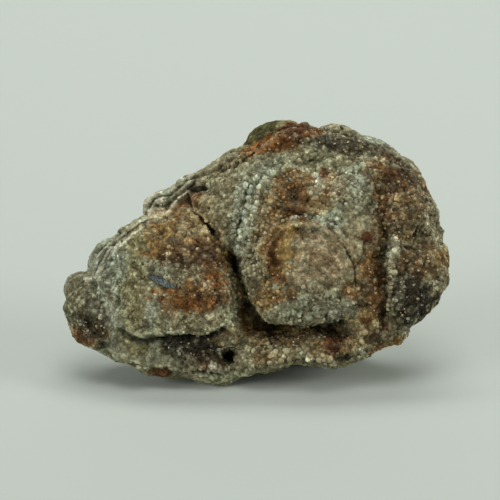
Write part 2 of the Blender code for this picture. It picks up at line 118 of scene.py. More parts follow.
@dataclass(frozen=True)
class Patch:
    """An oval of the face: its middle, radii and turn in degrees, and how strongly it tells."""

    u: float
    v: float
    across: float
    up: float
    turn: float = 0.0
    strength: float = 0.8

    @property
    def heading(self) -> tuple[float, float]:
        """The cosine and the sine of its turn."""
        return math.cos(math.radians(self.turn)), math.sin(math.radians(self.turn))

    def share(self, points: Array, ragged: Array) -> Array:
        """How much of the patch each point has.

        Args:
            points: Places on the face, one row of u and v each.
            ragged: Numbers of about -1 to 1 at each point, that break the patch's edge.

        Returns:
            Shares from 0 to the patch's strength.
        """
        cosine, sine = self.heading
        du, dv = points[:, 0] - self.u, points[:, 1] - self.v
        along = (du * cosine + dv * sine) / self.across
        over = (dv * cosine - du * sine) / self.up
        edge = np.hypot(along, over) + PATCH_RAGGEDNESS * ragged
        return self.strength * np.clip((PATCH_REACH - edge) / PATCH_SOFTNESS, 0, 1)

    def closeness(self, points: Array) -> Array:
        """The share without a ragged edge, from 0 to 1."""
        return np.clip(self.share(points, np.zeros(len(points))) / self.strength, 0, 1)

    def place(self, along: Array | float, over: Array | float) -> Array:
        """Turns places along and over the oval, in mm from its middle, into rows of u and v."""
        cosine, sine = self.heading
        u, v = self.u + along * cosine - over * sine, self.v + along * sine + over * cosine
        return np.column_stack([u, v])


def patches(*rows: tuple[float, ...]) -> tuple[Patch, ...]:
    """Makes patches of rows of numbers, in the order of a patch's own values."""
    return tuple(Patch(*row) for row in rows)


LENS = Patch(-13.3, -3.9, 2.3, 0.95, -24)
CROWN = Patch(0.6, 17.4, 3.2, 1.0, 38, 0.97)

# Stains of the face, broad ones first, with some patches of painted shade and painted light in the cleft and
# the undercuts
STAINS_AND_PAINTED_SHADE: tuple[tuple[Tint, tuple[Patch, ...]], ...] = (
    (Tint.GREY, patches(
        (-23.5, -6, 5.5, 10, 0, 0.9), (-16, 7, 8, 3.5, 35), (-14, -13.5, 8, 3.5, -12),
        (-3.7, -7, 1.4, 3.4, 0, 0.7), (8, -7.5, 6.6, 2, 0, 0.7), (13.6, 6.6, 3.2, 4.4, 0, 0.75),
    )),
    (Tint.SLATE, patches(
        (-24.6, -6, 2.6, 4.2, 0, 0.85), (-16.6, -9.4, 1.6, 1.3), (-21.4, -8.4, 1.2, 3, 12, 0.5),
        (11.6, -8, 2.4, 1.4, 0, 0.6), (-18, -13, 3.4, 1.4, -28, 0.4), (20.4, 13, 1.6, 1, -40, 0.6),
        (-20, -12, 1, 2, 20, 0.5), (-22.6, -12.6, 1.6, 0.8, -25, 0.7),
    )),
    (Tint.CREAM, patches(
        (-5, 7.4, 4.8, 5.4, -30), (-9.6, -9.7, 5.6, 1.3, 0, 0.9), (-0.4, 0.5, 1.7, 6, 4, 0.75),
        (11.4, 17.7, 2.8, 0.8, -10, 0.6), (13.4, 1.2, 1.6, 3.2, -8, 0.9), (5, -14, 7, 1.8, 0, 0.6),
    )),
    (Tint.PALE_GREEN, patches(
        (8, 12.2, 8.2, 1.9, -3, 0.85), (-5, -17.8, 6, 1.1, 5), (12, 12.9, 2.6, 0.8, 0, 0.9),
        (-16.6, -15.2, 3.4, 0.9, -18, 0.5), (-4, -8.4, 1, 1.4, 0, 0.5),
    )),
    (Tint.BLUE_GREY, patches(
        (-20.4, -5, 2, 7, 8), (-19.2, -1.4, 2.6, 2.2, 20, 0.7), (-14.5, -7.7, 0.9, 2.6),
        (-1.3, 7.2, 1.7, 3.6, 5, 0.85), (-2.5, 3, 1.3, 3.6, 0, 0.9), (1.4, 11.6, 2.4, 1.4, 45, 0.7),
        (13.4, 10.4, 2.8, 2, 0, 0.6), (9.4, 5.2, 3.4, 1.1, -22, 0.85), (6.6, -7.8, 3.6, 1.5, 0, 0.25),
        (-14.6, 8, 2, 1.4, 30, 0.6), (-21.4, 0, 2.8, 1.6, 40, 0.97), (-18, 3.6, 2.6, 0.9, 40),
        (17.4, 15.4, 3.4, 0.7, -22), (22.8, 11.2, 2.6, 0.55, -48), (25.7, 6.4, 0.5, 3.4, 14, 0.7),
    )),
    (Tint.OLIVE, patches(
        (-17, -5, 1.7, 5.6, -4, 0.75), (-16.6, 1.6, 2.3, 2, 30, 0.85), (-17.4, -12.6, 2.4, 1, -30, 0.7),
        (-25.4, -6.5, 1.2, 2.6, 0, 0.35), (1.6, 18.2, 4.6, 1, 14, 0.9), (-1.6, 15.4, 1.6, 0.8, 45, 0.7),
    )),
    (Tint.TAN, patches(
        (-8.4, 6, 2.4, 2.2, 0, 0.7), (1.6, 4.8, 2.2, 4.6, 0, 0.75), (13, 4.4, 2, 2.2, 0, 0.5),
        (3.6, -13.8, 2.6, 1.6, 0, 0.5), (-6, 3.8, 1.4, 1.6, 0, 0.5), (10.8, -13.6, 4, 1.6, 0, 0.5),
        (-2.6, 13.2, 4, 0.8, 26, 0.6),
    )),
    (Tint.PINK_TAN, patches(
        (8.8, -0.6, 4.2, 3.6, 0, 0.9), (5, -3.2, 2.2, 1.8, 0, 0.6), (0.9, 2.4, 1.4, 2, 0, 0.5),
        (11, 9.4, 2, 1.6, 0, 0.6),
    )),
    (Tint.BROWN, patches(
        (-10.6, 2.2, 6, 3.4, -22, 0.65), (21.2, 8, 3.4, 4.6, 12, 0.75), (22.6, -0.8, 3.6, 3, 0, 0.85),
        (16.6, 2.8, 1.3, 3.2, 0, 0.85), (2.8, -11.4, 6.4, 1.4), (-1.4, -9.4, 1.6, 2.2),
        (-6.6, -13.6, 3.6, 2.6, 0, 0.75), (14.6, -11, 4, 1.8, 12, 0.7), (-4.2, -0.9, 1.5, 2, 0, 0.9),
        (15.4, -5, 2.4, 5.4, 0, 0.85), (0.6, -14, 1.6, 1.4, 0, 0.6), (12.8, 13.4, 1.2, 0.8, 0, 0.3),
    )),
    (Tint.AMBER, patches(
        (-14.2, 2.8, 2, 1.7, 30, 0.85), (-14, 0.2, 1.6, 1.3, 0, 0.75), (2.8, 0.6, 1.9, 4.2, -10, 0.95),
        (1, -6, 1.9, 1.5, 0, 0.9), (8.6, 7, 1.7, 1.4, 0, 0.75), (3.4, 14.8, 3, 0.8, 6, 0.85),
        (20.5, 2.4, 1.6, 1, 0, 0.75), (26, -0.8, 0.9, 1.2, 0, 0.85), (14.6, -8.9, 1.6, 0.9, 0, 0.85),
        (18, -12.9, 2.8, 0.9, 15, 0.97), (-8, 3.6, 1.8, 1, -30, 0.5), (5.8, 10.2, 1.2, 0.9, 0, 0.5),
        (4.6, -12.2, 1, 0.7, 0, 0.5), (17.2, -1, 0.8, 0.8, 0, 0.4),
    )),
    (Tint.HONEY, patches(
        (3.7, 2.3, 1.5, 2.4, -25, 0.98), (0.5, -6.3, 1.2, 0.9, 0, 0.7), (4.9, 0.2, 1, 0.9, 0, 0.6),
        (-12.2, 4.2, 0.9, 0.8, 0, 0.5),
    )),
    (Tint.ORANGE_BROWN, patches(
        (-9, -6, 5, 2.3, -3, 0.95), (-11.2, 5.8, 1.7, 1.1, 30), (5, 7.8, 3, 3.5, 0, 0.9),
        (3.4, 16, 5, 1.5, 18, 0.97), (18.4, 9.2, 2.6, 4.8, 14, 0.85), (15.6, -1.4, 1.4, 2, 0, 0.85),
        (-5.8, -3.6, 2.3, 1.7, -30, 0.85), (-9.2, 1, 2.6, 1.4, -15, 0.6), (-12.8, 0, 2.6, 1.5, -8, 0.85),
        (-6.6, 0, 2.4, 1.9, -40, 0.85), (11.5, -12.6, 2.4, 1.2, 0, 0.6), (22, -2.2, 2.4, 1.3, -20, 0.5),
        (-12.8, -5.4, 1.6, 1.3), (3.2, -5.8, 1.8, 0.8), (13.2, -5.4, 1.2, 0.9),
        (9.6, 9.4, 0.8, 1, 0, 0.6), (-24.6, -11.7, 1.8, 1.2, -40, 0.97), (9.6, -13.2, 3, 1.2, 0, 0.7),
    )),
    (Tint.RUST, patches(
        (3.6, 16.2, 5.2, 1.5, 17, 0.97), (17.4, -8.8, 0.8, 2.2, 0, 0.6), (-9.2, 7.8, 1.7, 1.3, 30, 0.85),
        (-21.6, -11.2, 1.2, 0.9), (16.4, -5.6, 1.4, 2.4, 0, 0.85), (17.6, 5.6, 0.9, 3),
        (19.6, 10.8, 1.9, 1.3, -40, 0.6), (-13.8, -16.7, 1.4, 0.7, 0, 0.95),
        (-8.2, -12.1, 1.5, 0.7, 0, 0.85), (2, 1.6, 0.8, 2.6, -14, 0.9), (2.3, -1.8, 1, 2.4, 12, 0.9),
        (5.4, 5.9, 1.4, 0.9, 0, 0.7), (24.2, 9.6, 1, 1.4, 30, 0.5), (-7.6, -0.6, 3, 1.5, -20, 0.85),
        (-11, -1, 3, 1.1, -14, 0.85), (-10.6, -7.2, 1.6, 0.8, 0, 0.6), (1.2, -14.3, 1.6, 0.9, 0, 0.5),
        (20.8, -0.8, 0.9, 1.2, 0, 0.5),
    )),
    (Tint.ORANGE, patches(
        (0.4, 15.2, 2.6, 0.7, 36, 0.97), (1.6, 15, 2.6, 0.5, 10, 0.5), (-5.9, -3.8, 1.6, 1.2, -30),
        (-8.6, -6.6, 3.4, 0.9, 5, 0.7), (6.8, 17.3, 2.4, 0.8, -4, 0.95), (-0.8, -10.5, 1.1, 0.8),
        (15, -9.6, 0.8, 0.6, 0, 0.6), (-12.2, -4.9, 1, 0.6, 0, 0.6), (1.2, 15.6, 2.2, 0.8, 30, 0.6),
        (16.6, 12, 0.8, 0.6, 0, 0.3), (-14.6, 4.2, 0.8, 0.6, 0, 0.4), (17, 8, 0.7, 1.4, 0, 0.4),
    )),
    (Tint.PEACH, patches(
        (-13.8, 6, 1.7, 1.2, 30, 0.97), (10.1, 10.6, 0.9, 0.8), (19.5, 7.7, 0.9, 0.9, 0, 0.75),
        (20.7, 5.5, 1, 0.9, 0, 0.75), (21.4, 8.4, 0.6, 0.6, 0, 0.4), (13.1, -9.8, 1.1, 0.6),
        (-9.4, 5.6, 0.9, 0.8, 0, 0.6), (-12.9, 0.1, 0.7, 0.6), (-10.4, 3.6, 0.7, 0.6, 0, 0.6),
        (-7.2, 2.2, 0.8, 0.7, 0, 0.5), (2.4, -14, 0.9, 0.7, 0, 0.5), (12.4, -13.2, 1.8, 1, 0, 0.85),
        (22, 1, 0.7, 0.5, 0, 0.4), (-11.6, -8.4, 0.9, 0.6, 0, 0.6), (23.6, -0.4, 0.8, 0.7, 0, 0.4),
    )),
    (Tint.RED_BROWN, patches(
        (9.4, 11.3, 0.6, 0.7, 0, 0.85), (4.8, 17.5, 2.2, 0.7, 6, 0.95), (-7, -15, 1.9, 1.3),
        (10.6, -12.7, 1, 1, 0, 0.95), (15.2, 2.2, 0.9, 0.8, 0, 0.95), (18.4, 11, 1.4, 1, 0, 0.6),
        (2.2, -3, 0.6, 0.9, 20, 0.7), (8.6, -0.4, 1.4, 0.4, -20, 0.35), (9.2, -4.6, 1.4, 0.5, 15, 0.35),
        (7.6, 1.4, 0.9, 0.4, 30, 0.3),
    )),
    (Tint.DARK_BROWN, patches(
        (-10.2, -1.3, 3, 0.9, -8, 0.45), (-9.4, 0.9, 2, 0.7, -20, 0.4), (-23.3, -10.2, 2, 1.6, -20, 0.95),
        (-8.4, -13.9, 3.8, 2, 0, 0.98), (18.8, 9.8, 2.8, 0.9, 50, 0.45), (17.2, -1.2, 0.8, 1.1, 0, 0.6),
        (17.3, -7.4, 0.7, 2.4, 0, 0.4), (20.6, 3.8, 2, 0.5, 10, 0.6), (16.6, -11.6, 2.6, 0.8, 14, 0.7),
        (21.5, 10.2, 1.4, 0.7, -45, 0.6), (14, -6.9, 1.3, 0.6, 0, 0.6), (3.4, 6.2, 1.4, 0.4, -10, 0.5),
        # Painted shade: the dark brown patch at (-2.6, -5.6) lies along the cleft, and the one at (6, -11.1)
        # on the next line lies in the undercut under the main lobe
        (-2.6, -5.6, 0.7, 3.6, 0, 0.6), (-6.4, 0.6, 0.9, 0.7, 0, 0.5), (17.8, 14, 2.4, 0.7, -35, 0.7),
        (6, -11.1, 5.6, 0.8, 2), (-4.8, -11.4, 1.6, 0.7, 0, 0.6),
    )),
    (Tint.BLACK, patches(
        # Painted shade: the black patch at (-10.2, -12.5), and the one at (-9.4, -12) further down, lie in
        # the undercut under the petal's lower edge
        (5.1, 8, 1, 1.4, 0, 0.6), (-10.2, -12.5, 3.8, 1.2, 0, 1), (-11.6, -13.8, 1.4, 0.8, 0, 0.6),
        (21.8, -6.5, 3.2, 3, -30, 1), (20.3, -4, 1.3, 1.3, 0, 0.85), (21.2, 0.9, 1.3, 0.5),
        (22.6, 2.7, 0.8, 0.6, 0, 0.7), (10.8, 15.2, 5, 0.9, -8), (-4.2, -14.1, 1, 1.3, 0, 1),
        (12.4, -14.4, 0.9, 0.6, 0, 0.9), (-23.7, -9.4, 0.8, 0.6, 0, 0.6), (-11, -4.3, 0.6, 0.5, 0, 0.9),
        (-12.8, 6.6, 0.6, 0.4, 0, 0.9), (-25.7, -8.6, 0.35, 0.35, 0, 0.9), (-8.2, 9.2, 1.5, 0.35, 5, 0.9),
        (17.2, 0, 0.7, 0.8, 0, 0.6), (-5.2, 12.1, 1.2, 0.35, 20, 0.6), (-9.4, -12, 3, 0.5, 0, 0.6),
    )),
    # Painted light: these honey patches brighten the cleft and the undercut under the main lobe, making up
    # for their deep shade
    (Tint.HONEY, patches(
        (4.2, -10.8, 6.4, 0.6, 0, 0.7), (-3.9, -0.6, 0.9, 0.9, 0, 0.6), (-2.2, -6.2, 0.6, 3, 8, 0.5),
        (-0.8, -9.6, 1.4, 0.8, 0, 0.6),
    )),
    (Tint.NAVY, patches(
        (16, 13.8, 0.7, 0.5, 0, 0.7), (-18.6, -7.4, 0.6, 1.4, 0, 0.3),
    )),
    (Tint.WHITE, patches(
        (-1.7, 6.4, 0.9, 2.6, 8, 0.5), (-15, 7.4, 2.2, 1.4, 30, 0.98), (-10.7, 9.9, 1.6, 0.8, 38, 0.45),
        (-14, 6.2, 0.8, 0.6, 30, 0.4), (-2.6, 3.2, 0.7, 2, 8, 0.35), (-21.2, -7.4, 1.3, 2.6, 8, 0.4),
        (24, 5.2, 0.9, 1.2, 0, 0.35), (13.8, -13.6, 0.9, 0.6, 0, 0.9), (-6.1, -16.1, 0.9, 0.8, 0, 0.85),
        (18.7, 0.6, 0.6, 1.5, 0, 0.7), (8.2, 10.4, 0.4, 0.9, 0, 0.6), (5.5, 12.1, 0.9, 0.35, -20, 0.6),
        (10, -8.4, 1.2, 0.5, 0, 0.3), (-15, 7.2, 0.8, 0.8, 0, 0.4), (6, -13.6, 0.8, 0.6, 0, 0.4),
    )),
)

# Where each coat grows, broad patches first; a later patch takes the place of an earlier one
COATS: tuple[tuple[Coat, Patch], ...] = tuple(
    (coat, Patch(*oval, strength=1.0)) for coat, *oval in (
        (Coat.MEDIUM, 0, 0, 40, 30), (Coat.SMOOTH, -21, -3, 4.4, 12),
        (Coat.SMOOTH, -16.5, 5.5, 8.5, 2.6, 36), (Coat.SMOOTH, -17, -13.5, 6.5, 3.6, -18),
        (Coat.FINE, -18.6, -4, 2.6, 7), (Coat.FINE, -24.6, -8, 3.4, 6), (Coat.FINE, -9.5, -9.6, 6, 1.6),
        (Coat.COARSE, -11.6, 3, 3.2, 2.4, -25), (Coat.POINTS, -23.3, -10.2, 2.3, 2, -20),
        (Coat.POINTS, -8, -5.2, 3.8, 1.9), (Coat.SMOOTH, 9, -0.8, 4.4, 4),
        (Coat.SMOOTH, 13.5, 1.8, 1.7, 4.4, -6), (Coat.SMOOTH, 3.6, 2.2, 1.5, 2.2, -25),
        (Coat.SMOOTH, 2, 18.3, 5, 0.8), (Coat.SMOOTH, -5.5, -17.8, 7, 1.2, 5),
        (Coat.MEDIUM, 8, -7.6, 6.5, 1.8), (Coat.COARSE, 5.5, -13.4, 8, 2.2),
        (Coat.COARSE, -0.4, -3.4, 1.5, 3, 8), (Coat.POINTS, 20.4, 8, 4.4, 7, 12),
        (Coat.POINTS, 22.3, -5, 4.4, 5.4), (Coat.POINTS, 10.6, 15.8, 6, 1.6, -5),
        (Coat.POINTS, -9.5, -0.8, 4, 1.8, -8), (Coat.POINTS, -9, -13.4, 3.6, 1.8),
    )
)


@dataclass(frozen=True)
class Line:
    """A crack or lip of the face: its route in u and v, half width and rise in mm, and a lip's tint."""

    route: Route
    half_width: float
    rise: float
    tint: Tint = Tint.CREAM

    def closeness(self, points: Array) -> Array:
        """How close each point lies to the line: 1 on it, falling smoothly to 0.

        Args:
            points: Places on the face, one row of u and v each.

        Returns:
            One number for each point.
        """
        nearest = np.full(len(points), np.inf)
        for start, end in pairwise(np.array(self.route, float)):
            run = end - start
            along = np.clip((points - start) @ run / (run @ run), 0, 1)
            gap = points - start - along[:, None] * run
            nearest = np.minimum(nearest, np.hypot(gap[:, 0], gap[:, 1]))
        return np.exp(-((nearest / self.half_width) ** 2))


def lines(*rows: tuple) -> tuple[Line, ...]:
    """Makes lines of rows, in the order of a line's own values."""
    return tuple(Line(*row) for row in rows)


# Cracks cut into the face; they are also darkened by their depth, partly their own dark seams and partly
# painted shade
CRACKS = lines(
    (((-9.9, 8.5), (-9, 6), (-7.2, 4), (-6, 2.7), (-5.3, 1.6), (-5, 0.3)), 0.2, -0.55),
    (((-9.6, 8.9), (-8.4, 9.1), (-7, 9.4)), 0.35, -0.9),
    (((-3.4, -0.6), (-3.1, -3), (-2.2, -4.8), (-1.7, -6.6), (-1.9, -9.4)), 0.3, -0.4),
    (((-1.4, 8.4), (-1.8, 6), (-2.4, 4.8), (-2.9, 2.4)), 0.18, -0.5),
    (((0.6, 10.5), (-0.6, 9), (-0.9, 5), (-1.8, 1)), 0.18, -0.35),
    (((-23, -4.2), (-22.3, -5.2), (-21, -9), (-19.6, -12.5)), 0.22, -0.18),
    (((-19.3, -6.6), (-19.2, -8.6), (-18.7, -10.4)), 0.25, -0.2),
    (((9.6, 3.9), (10.8, 2.6), (11.8, 1.2), (12.6, -0.4), (13.4, -1.9), (13.6, -4.5)), 0.14, -0.45),
    (((14.8, 1.5), (14.6, 0), (14.2, -1.2), (13.4, -1.9)), 0.14, -0.35),
    (((2.4, -5.9), (5.5, -6.5), (9.5, -6.4), (12.8, -5.7)), 0.16, -0.2),
    (((2.6, -7.9), (6, -7.8), (10, -7.7), (13.6, -7.2)), 0.18, -0.3),
    (((4.5, -6.4), (4.7, -7.8), (4.2, -9.4)), 0.14, -0.24),
    (((6.1, -6.6), (6.3, -7.8), (6, -9.6)), 0.14, -0.26),
    (((7.6, -6.6), (7.4, -7.7), (7.8, -9.4)), 0.14, -0.26),
    (((9.4, -6.5), (9.7, -7.8), (9.4, -9.2)), 0.14, -0.26),
    (((11.3, -6.1), (11.7, -7.4), (11.5, -8.8)), 0.14, -0.26),
    (((2, 7), (2.9, 6.3), (4, 6.2), (5.2, 5.5)), 0.16, -0.2),
    (((7, 12.9), (9, 12.9)), 0.22, -0.4),
    (((1, 14.3), (3.5, 14.2), (6, 14.4), (10, 14.2), (14, 13.6)), 0.2, -0.18),
    (((17, 5), (17.6, 3), (17.9, 1.5), (17.5, -1.2)), 0.18, -0.2),
    (((17.3, -3), (17.8, -6), (17.4, -9.5)), 0.26, -0.25),
    (((-18.9, -10.9), (-17.6, -12), (-16, -12.3), (-12.5, -11.8), (-7, -11.8), (-4.6, -10.6)),
      0.35, -0.7),
    (((-9, -16.6), (-7.8, -16.5), (-5, -17.2)), 0.2, -0.5),
    (((1.2, 4.2), (3, 4.6), (4.6, 5.4)), 0.16, -0.15),
    (((5.2, 5.5), (7.4, 5), (9.2, 4.8), (11.4, 3.4), (12.9, 2)), 0.16, -0.18),
    (((-15.3, 6.5), (-14.6, 7.8), (-13.5, 8.2), (-12.2, 8.3), (-11.2, 9.3), (-10.3, 10)), 0.2, -0.5),
    (((-14.2, 6.6), (-12.9, 6.8), (-11.8, 7.7), (-10.9, 8.4), (-9.7, 9.2), (-8.8, 9.9)), 0.2, -0.5),
    (((-22.7, 0.2), (-21.6, 1.2), (-20.4, 1.9), (-19.2, 2.9)), 0.2, -0.5),
    (((-22.9, -3), (-22, -1.2), (-21, 0.6), (-19.6, 1.8), (-18, 3), (-16.2, 4.2), (-14.4, 5)),
      0.12, -0.45),
    (((-10, 10.3), (-8.4, 11), (-6.4, 11.6), (-4.8, 12.6), (-3.2, 13.4)), 0.2, -0.5),
    (((-5, 11.7), (-2.5, 12.7), (-1, 13.7), (0.2, 14.9)), 0.22, -0.5),
    (((2, 17.4), (5, 18.1), (8, 17.9), (11, 17.2), (14, 16.2)), 0.24, -0.6),
    (((17, 15.2), (20, 13), (22.4, 10.8), (24, 7.6), (25.4, 3.4)), 0.2, -0.3),
    (((-17.5, -15.6), (-14, -16.2), (-11, -16.8)), 0.2, -0.4),
    (((3, -15.2), (6, -15), (9, -15.2), (12, -14.9)), 0.22, -0.4),
    (((-14.9, -2), (-14.2, -0.9), (-12.9, -0.7)), 0.16, -0.15),
    (((5.6, 3.6), (6.4, 1.8), (6, 0.2), (6.8, -1.6), (6.4, -3.6), (7, -5.4)), 0.14, -0.16),
    (((8.4, 3.6), (8.9, 1.6), (10, 0.4), (10.4, -1.4), (11.6, -2.4), (12.4, -4.2)), 0.14, -0.14),
    (((6.8, -1.6), (8.4, -2.2), (9.4, -3.6), (9.2, -5.2)), 0.14, -0.14),
    (((6.2, 1.4), (7.6, 0.8), (8.9, 1.6)), 0.13, -0.12),
    (((2.2, -2.6), (3.8, -2), (5.2, -2.6), (6.6, -2.4)), 0.14, -0.14),
)

# Crusts that narrow the clefts and the valley of the solid
CRUSTS = lines(
    (((-4.2, 0.4), (-3.2, -1.5), (-2.4, -4.5), (-1.8, -7.5), (-1.6, -10)), 1.2, 0.9),
    (((-1.6, -9.6), (2, -10.9), (6, -10.9), (10, -10.4)), 1, 0.4),
    (((17, 8), (17.4, 4), (17.8, 1), (17.4, -3), (17.6, -6), (17.4, -9.5)), 1.2, 0.85),
)

# Thin raised edges, each with a tint of its own
LIPS = lines(
    (((-24.3, -3.6), (-23.1, -3.5), (-22.1, -1.8), (-21.2, 0.1), (-19.9, 1.4), (-18.4, 2.9),
      (-16.5, 4.4), (-14.6, 5.1), (-12.7, 5.9), (-11.7, 6.9), (-11.5, 7.7), (-9.7, 8.9)),
      0.2, 0.5, Tint.WHITE),
    (((-22.6, -3.7), (-21.6, -1.8), (-20.6, -0.1), (-19.2, 1.1), (-17.7, 2.4), (-16.2, 3.6)),
      0.16, 0.36, Tint.WHITE),
    (((-22.9, -1.2), (-22, 0.4), (-20.4, 1.6), (-19, 3.1), (-17, 4.6), (-15.6, 5.5)),
      0.16, 0.4, Tint.PALE_GREEN),
    (((-19.5, -7.4), (-19.1, -9.4), (-18.1, -10.6), (-16.8, -11.3), (-15.2, -11), (-13.4, -11.2),
      (-12, -10.9), (-10.2, -11), (-8.4, -11.2), (-6.8, -10.8), (-5.4, -10.2), (-4.2, -9.2), (-3.3, -8)),
      0.22, 0.4, Tint.PALE_GREEN),
    (((-15, -2.6), (-14, -2.4), (-12.8, -2.9), (-11.6, -3.8), (-10.6, -4.6)), 0.14, 0.2, Tint.CREAM),
    (((-9.7, 8.3), (-8.9, 6.4), (-7.8, 5.3), (-6.6, 4), (-5.9, 2.9), (-5.4, 1.8)),
      0.14, 0.22, Tint.PEACH),
    (((-6.8, 11.9), (-4.6, 12.4), (-2.4, 13.4), (-0.6, 14.4), (1.4, 15.5)), 0.16, 0.3, Tint.TAN),
    (((0.8, 14.9), (3, 16.9), (6, 18), (8.8, 17.8)), 0.14, 0.25, Tint.TAN),
    (((-21, -13.4), (-19, -14.3), (-17.2, -15.1), (-14.6, -15.9)), 0.14, 0.3, Tint.PALE_GREEN),
    (((-16.4, -14.9), (-14.8, -15.6), (-12.6, -15.6), (-10.5, -16.3), (-8.2, -17.1)),
      0.14, 0.3, Tint.CREAM),
    (((-18.6, -0.5), (-17.4, -0.9), (-16.2, -1.6), (-15.3, -2.8)), 0.16, 0.26, Tint.PALE_GREEN),
    (((-5.3, -14.6), (-5.5, -13.9), (-4.9, -13.1), (-4.2, -12.8), (-3.5, -12.9)), 0.1, 0.3, Tint.WHITE),
    (((-9, -17.2), (-6.4, -18.2), (-4.2, -17.8), (-1.6, -17)), 0.14, 0.24, Tint.PALE_GREEN),
    (((-1.4, -16.6), (1.4, -16.2), (4.2, -15.3), (8, -15.9), (11, -15.7), (14.2, -14.9)),
      0.14, 0.24, Tint.CREAM),
    (((-12.9, -12.6), (-12, -13.4), (-10.9, -13.2), (-10.2, -14.2), (-9.2, -14.4)), 0.1, 0.24, Tint.GREY),
    (((-12.6, -14.4), (-11.6, -15), (-10.4, -14.9), (-9.6, -15.6)), 0.1, 0.22, Tint.GREY),
    (((-5.4, -3.4), (-4.4, -4.6), (-3.9, -6.2), (-4.3, -7.9), (-4.9, -9.2)), 0.12, 0.3, Tint.CREAM),
    (((-4.4, -3), (-3.4, -4.4), (-3.1, -6), (-3.3, -7.6)), 0.12, 0.3, Tint.PALE_GREEN),
    (((4.8, 12.4), (5.6, 12.1), (6.4, 11.6)), 0.12, 0.26, Tint.WHITE),
    (((7.7, 11.5), (8.3, 10.8), (8.4, 10.1), (8, 9.4)), 0.12, 0.3, Tint.WHITE),
    (((0.8, -1.3), (1.4, 1.1), (3.1, 3.3), (4.8, 4.1), (7.5, 3.9), (9.5, 3.2)), 0.16, 0.18, Tint.TAN),
)

# Rows of beads along the edges of the growths: route, bead radius and spacing in mm, and tint
BEAD_ROWS: tuple[tuple[Route, float, float, Tint], ...] = (
    (((-1.6, 9.4), (-0.9, 8.3), (-1.2, 7), (-1.9, 5.4), (-2.2, 3.8), (-2.7, 1.8), (-2.7, 0)),
      0.5, 0.96, Tint.BLUE_GREY),
    (((1.4, 11.2), (0.2, 9.4), (-0.3, 7.4), (-0.8, 5.2), (-1.5, 2.8)), 0.4, 0.78, Tint.BLUE_GREY),
    (((-3, 8.4), (-3, 6.4), (-3.3, 4.4), (-3.5, 2.4)), 0.42, 0.9, Tint.GREY),
    (((2.4, 3.9), (4.4, 4.9), (6.6, 5.2), (8.8, 4.8), (10.8, 3.7)), 0.34, 0.66, Tint.BLUE_GREY),
    (((18.9, 1.9), (18.9, 0.4), (18.6, -1), (18.9, -2.6)), 0.42, 0.8, Tint.CREAM),
    (((18.7, -3.6), (18.5, -5.4), (18.2, -7.2), (18.1, -8.9)), 0.3, 0.62, Tint.PINK_TAN),
    (((3.2, 12.2), (5.4, 12.2), (7.2, 11.5), (8.2, 10.2)), 0.26, 0.56, Tint.CREAM),
    (((-0.6, -13.6), (2.4, -13.7), (5.4, -13.4), (8.6, -13)), 0.6, 1.5, Tint.CREAM),
    (((0.4, -15.2), (3.4, -14.9), (6.6, -14.8), (9.8, -14.6)), 0.5, 1.4, Tint.TAN),
    (((13, -9.9), (15, -10.6), (14.6, -12.2)), 0.5, 1.2, Tint.TAN),
)

# The lobe grew outwards from its heart, so fine beads lie in arcs that repeat its outline
LOBE_HEART = (7.2, 1.0)
LOBE_ARC: Route = (
    (-1.7, -3.4), (-2.1, -1.2), (-1.9, 1.8), (-1.2, 5.3), (0.2, 8.6), (2.2, 11), (5, 12.4), (8.7, 12.7),
    (12.4, 12.2), (15.2, 10.6),
)
LOBE_ARC_SHARES = (0.93, 0.85, 0.77, 0.70, 0.63)
LOBE_BEAD_RADIUS, LOBE_BEAD_SPACING = 0.27, 0.56

# Small crystal faces that catch a lamp
GLINTS: Route = (
    (17.3, 0.05), (5.8, 16.9), (18.9, 12.9), (19.5, 12.7), (22.8, 9.95), (18.3, 8.35), (19.4, 8.3),
    (21.5, 8), (17.9, 5.6), (19.7, 9.5), (10.8, 16), (-9.6, 0.2), (-2.6, -0.1), (-2, -1.5), (0.05, 0.5),
    (3, 5.95), (1.9, 7.05), (3.6, -4.3), (2.2, -5.35), (6, -5.7), (11.1, 1.35), (10.1, -6.3), (11, -6.9),
    (5, -12.7), (16.5, -8.6), (20.5, -8.1), (-5.8, -1.6), (-8.3, -5.2), (23.6, -4.4), (21, -5.9),
    (12.6, 15.6), (14.6, 14.9), (22.4, 5.2), (-12.4, -13.1),
)

# Zones outside the quartz points where such faces show too
GLINT_ZONES = patches(
    (2, -1, 2.2, 6.5), (6, -6.8, 7, 1.4), (5, 15.6, 5, 1.6, 10), (4, -12.8, 6, 1.6), (16.4, -4, 1.8, 6),
    (-4.4, -1.2, 1.4, 2),
)


@dataclass(frozen=True)
class FaceFrame:
    """The frame of the stone's face: how it leans, and where its origin lies in the row frame."""

    lean: float = math.radians(18)
    origin: Triple = (0.00019, -0.00179, 0.01803)

    @property
    def axes(self) -> Array:
        """The face's u, v and w directions in the row frame, one row each."""
        sine, cosine = math.sin(self.lean), math.cos(self.lean)
        return np.array([[1, 0, 0], [0, sine, cosine], [0, -cosine, sine]])

    def to_row(self, places: Array) -> Array:
        """Turns places on the face, in millimetres, into row frame places in metres."""
        return places @ self.axes * MILLIMETRE + np.array(self.origin)

    def from_row(self, places: Array) -> Array:
        """Turns row frame places in metres into places on the face, in millimetres."""
        return (places - np.array(self.origin)) @ self.axes.T / MILLIMETRE


def fractal(points: Array, size: float, octaves: int = 2, seed: float = 0.0) -> Array:
    """Smooth noise over space.

    Args:
        points: Places in millimetres, one row each.
        size: Width of the largest waves, in millimetres.
        octaves: How many finer layers of noise are added.
        seed: Shifts the noise, to get another pattern.

    Returns:
        Numbers of about -1 to 1, one for each point.
    """
    shift = Vector((seed, 2.3 * seed, -1.7 * seed))
    return np.array([noise.fractal(Vector(point) / size + shift, 0.9, 2.0, octaves) for point in points])


def blend(first: Array, second: Array, share: Array) -> Array:
    """Mixes two sets of colours, by the share of the second."""
    return first * (1 - share) + second * share


